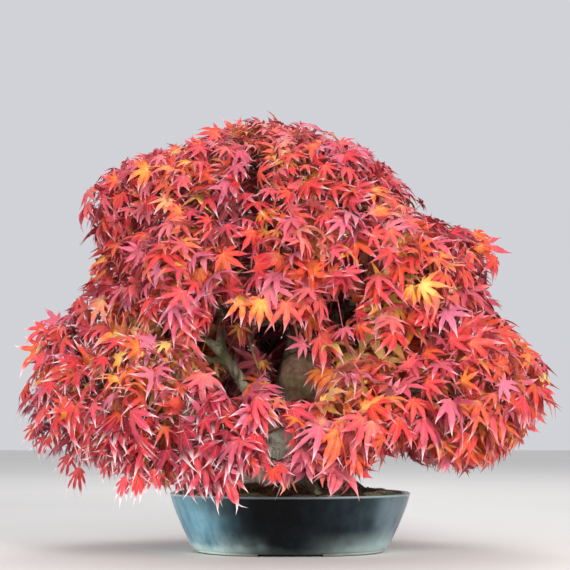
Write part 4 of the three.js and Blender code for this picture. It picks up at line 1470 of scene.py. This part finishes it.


# Tints drift over the crown, run in patches and differ leaf by leaf. Inner leaves that show get painted shade
# as a dark tint, and the top gets painted shade as a drift to crimson.
def leaf_tints(rng, hue, hub, layer):
    n = len(hub)
    shift = np.array([row[2] for row in LAYERS])[layer]
    patch = np.array([noise.noise(Vector(p) / PATCH_SIZE) for p in hub])
    # The drift to crimson at the top is painted shade that offsets the light from above
    drift = -RIGHT_DRIFT * hub[:, 0] / 250 - TOP_SHADE_DRIFT * np.clip((hub[:, 2] - 300) / 60, 0, 1)
    tint = TINT_BASE[hue] + shift + drift - LOW_LEFT_DRIFT * low_left_share(hub)
    tint = tint + PATCH_DRIFT * patch + rng.normal(0, TINT_SPREAD, n)
    odd = rng.uniform(size=n)
    # Painted shade on the filling leaves deep in the crown
    in_painted_shade = (hub[:, 1] > 0) | (hub[:, 1] > SHADED_FILL_BEHIND) & (hub[:, 0] > SHADED_FILL_RIGHT_OF)
    tint = np.where((layer == FILL) & in_painted_shade, SHADED_FILL_TINT + SHADED_FILL_PATCH_DRIFT * patch, tint)
    darker = np.where(odd > 1 - DARK_ODD[0], tint - DARK_ODD[1], tint)
    return np.where(odd < WARM_ODD[0], tint + WARM_ODD[1], darker).clip(0.03, 0.97)


# Painted sheen: more on leaves that face the sky, and a strong lilac one on some of the outer ones
def leaf_painted_sheens(rng, index, hub, up, layer):
    n = len(hub)
    sky = np.clip(up[:, 2], 0, 1)
    painted_sheen = rng.normal(0, SHEEN_SPREAD, n) + SKY_SHEEN * sky * rng.uniform(0, 1, n)
    painted_sheen = np.clip(painted_sheen, 0, MOST_SHEEN) * shown_share(layer)
    painted_sheen *= 1 - 0.5 * low_left_share(hub)
    lilac_draws = np.random.default_rng(LILAC_SEED + index)
    lilac = (layer < 2) & (lilac_draws.uniform(size=n) < LILAC_SHARE)
    return np.where(lilac, lilac_draws.uniform(*LILAC_SHEEN, n), painted_sheen)


# The leaves that grow at a spray's places, as arrays with one row a leaf
def grown_leaves(rng, index, hue, places):
    hub, normal, layer = (np.array([row[i] for row in places]) for i in (1, 2, 3))
    n = len(places)
    ahead, up, top = leaf_frames(rng, hub, normal)
    hangs = layer == FRINGE
    ahead[hangs], up[hangs] = fringe_frames(rng, hub[hangs], normal[hangs])
    length = rng.normal(1, 0.17, n).clip(0.6, 1.4) * leaf_length(hub[:, 2])
    length *= 1 + 0.35 * hangs + 0.45 * (layer == FILL) + 0.15 * (layer == COATS - 1)
    hub = hub + normal * rng.normal(0, 5, (n, 1)) - ahead * (length * 0.36)[:, None]
    hub[:, 2] -= FRINGE_DROP * np.clip(-normal[:, 2], 0, 0.8) * ((layer < 2) | hangs)
    hub += FRINGE_REACH * unit(hub * [1, 1, 0]) * hangs[:, None]
    tint = leaf_tints(rng, hue, hub, layer)
    painted_sheen = leaf_painted_sheens(rng, index, hub, up, layer)
    return dict(zip(GROWTH, (hub, ahead, up, length, top, layer, tint, painted_sheen)))


# How far each leaf droops, closes along its middle and spreads its lobes, how slim they are and how strong
# the painted highlight on their tips is. Hanging leaves are more closed.
def leaf_forms(rng, leaves, by_hand):
    hub, layer = leaves["hub"], leaves["layer"]
    n = len(hub)
    hangs = layer == FRINGE
    hanging = np.clip(-leaves["ahead"][:, 2], 0, 1)
    droop = rng.uniform(0.02, 0.3, n) + 0.12 * leaves["top"]
    closing = rng.uniform(0, 0.32, n) + 0.3 * hanging * rng.uniform(0, 1, n)
    spread = rng.uniform(0.88, 1.08, n) - 0.28 * hanging**2 * rng.uniform(0, 1, n)
    closing += 0.35 * hangs
    spread -= 0.14 * hangs
    low_left = low_left_share(hub)
    claw = low_left * by_hand * (hub[:, 2] < CLAW_TOP)
    closing += 0.45 * claw
    spread -= 0.3 * claw
    slim = 1 - 0.36 * low_left * (layer < 2) - 0.2 * hangs - 0.15 * claw
    droop += 0.25 * hangs * rng.uniform(0, 1, n)
    # Painted highlight on the tips: stronger on outer leaves, at the low left, on hanging leaves and on the
    # claws
    painted_tip_highlight = rng.uniform(0, 0.8, n) * shown_share(layer) + 0.8 * low_left
    painted_tip_highlight = np.clip(painted_tip_highlight + 0.25 * hangs, 0, 1) + 2 * claw
    return {"droop": droop, "closing": closing, "spread": spread, "slim": slim, "painted_tip_highlight": painted_tip_highlight}


# Moves leaves inside the crown's sides, above its skirt, out of its gaps and under its top, but puts the
# listed ones back. Gives how far each leaf went, and which ones stay: not those that went too far or that
# still cover a gap.
def move_into_crown(rng, blades, by_hand):
    before = blades[:, 0].copy()
    inward = inward_needed(blades)
    allowed = rng.uniform(0, SIDE_ALLOWANCE, len(inward))
    inward = np.sign(inward) * (np.abs(inward) - allowed).clip(0)
    blades[..., 0] += inward[:, None]
    rise = rise_needed(blades)
    rise += (rise > 0) * rng.uniform(0, RISE_SPREAD, len(rise))
    blades[..., 2] += rise[:, None]
    clear_gaps(blades)
    blades[..., 2] -= (blades[..., 2].max(axis=1) - CROWN_TOP).clip(0)[:, None]
    blades[by_hand] += (before - blades[:, 0])[by_hand][:, None]
    stays = by_hand | ~covering_any(blades) & (rise < MOST_RISE) & (np.abs(inward) < MOST_INWARD)
    return blades[:, 0] - before, stays


# The points of a spray's leaves, shape by shape, and which leaves they are. Their hubs move along with them.
def spray_blades(rng, leaves, by_hand):
    shape = np.array([row[3] for row in LAYERS])[leaves["layer"]]
    parts, kept = [], []
    for number, (rows, *_) in enumerate(LEAF_SHAPES):
        which = np.flatnonzero(shape == number)
        blades = shape_leaves(rng, rows, *(leaves[key][which] for key in SHAPING))
        moved, stays = move_into_crown(rng, blades, by_hand[which])
        leaves["hub"][which] += moved
        parts.append(blades[stays])
        kept.append(which[stays])
    return parts, np.concatenate(kept)


# The leaves of every spray, each spray as one piece, and the fine twigs of them all as another
def make_leaves(materials, twig):
    rng = np.random.default_rng(LEAF_SEED)
    places = leaf_places()
    twigs = Parts()
    for index, (name, _, _, hue, _, _) in enumerate(SPRAYS):
        singles = single_leaves(name)
        grown = grown_leaves(rng, index, hue, [row for row in places if row[0] == index])
        leaves = {key: np.concatenate([singles[key], grown[key]]) for key in grown}
        by_hand = np.arange(len(leaves["hub"])) < len(singles["hub"])
        leaves.update(leaf_forms(rng, leaves, by_hand))
        parts, kept = spray_blades(rng, leaves, by_hand)
        frames = (leaves[key][kept] for key in ("hub", "ahead", "up"))
        twig_mesh, stalk_mesh = spray_twigs(rng, index, *frames)
        twigs.add(*twig_mesh)
        looks = {key: leaves[key][kept] for key in ("tint", "painted_tip_highlight", "painted_sheen")}
        leaves_piece(name, hue, materials[hue], parts, looks, *stalk_mesh)
    twigs_piece = twigs.piece("twigs", twig)
    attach(twigs_piece, "root")


# One spray's leaves and their stalks as one piece
def leaves_piece(name, hue, material, parts, looks, stalk_points, stalk_faces):
    points, faces, marks, rim, below, owner = [], [], [], [], [], []
    total, leaf_count = 0, 0
    for blades, (rows, shape_faces, shape_marks, shape_below) in zip(parts, LEAF_SHAPES):
        n, per_leaf = len(blades), len(rows)
        points.append(blades.reshape(-1, 3))
        faces.append((shape_faces[None] + (total + np.arange(n) * per_leaf)[:, None, None]).reshape(-1, 3))
        marks.append(np.tile(shape_marks, (n, 1, 1)).reshape(-1, 2))
        rim.append(np.tile(rows[:, 4] > 0, n))
        below.append(np.tile(shape_below, n))
        owner.append(np.repeat(leaf_count + np.arange(n), per_leaf))
        total += n * per_leaf
        leaf_count += n
    points.append(stalk_points)
    faces.append(stalk_faces + total)
    marks.append(np.full((len(stalk_faces) * 3, 2), STALK_MARK))
    rim.append(np.zeros(len(stalk_points), dtype=bool))
    below.append(np.zeros(len(stalk_faces), dtype=bool))
    owner.append(np.repeat(np.arange(leaf_count), len(stalk_points) // leaf_count))
    piece = new_piece(f"leaves_{name}", np.concatenate(points), np.concatenate(faces), material)
    mesh = piece.data
    mesh.uv_layers.new(name="leaf").data.foreach_set("uv", np.concatenate(marks).ravel())
    for key, value in looks.items():
        mesh.attributes.new(key, "FLOAT", "POINT").data.foreach_set("value", value[np.concatenate(owner)])
    underside = np.concatenate(below).astype(float)
    mesh.attributes.new("underside", "FLOAT", "FACE").data.foreach_set("value", underside)
    ends = np.empty(len(mesh.edges) * 2, dtype=int)
    mesh.edges.foreach_get("vertices", ends)
    sharp = np.concatenate(rim)[ends.reshape(-1, 2)].all(axis=1)
    mesh.attributes.new("sharp_edge", "BOOLEAN", "EDGE").data.foreach_set("value", sharp)
    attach(piece, "root")
    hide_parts(f"spray_{name}")


set_camera()
set_stage()

glaze = glaze_material()
pot = make_pot(glaze)
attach(pot, "root")
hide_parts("pot")

screen = screen_material()
for side in ("left", "right"):
    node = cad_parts[f"drain_screen_{side}"]
    node.data.materials.clear()
    node.data.materials.append(screen)

soil_look = soil_material()
soil = make_soil(soil_look)
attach(soil, "root")
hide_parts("soil")
for extra in (make_grains(soil_look), make_moss(moss_material())):
    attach(extra, "root")

wood = make_wood(bark_material())
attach(wood, "root")
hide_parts("trunk_and_branches")

leaf_materials = {hue: leaf_material(f"leaf_{hue}") for hue in TINT_BASE}
make_leaves(leaf_materials, twig_material())
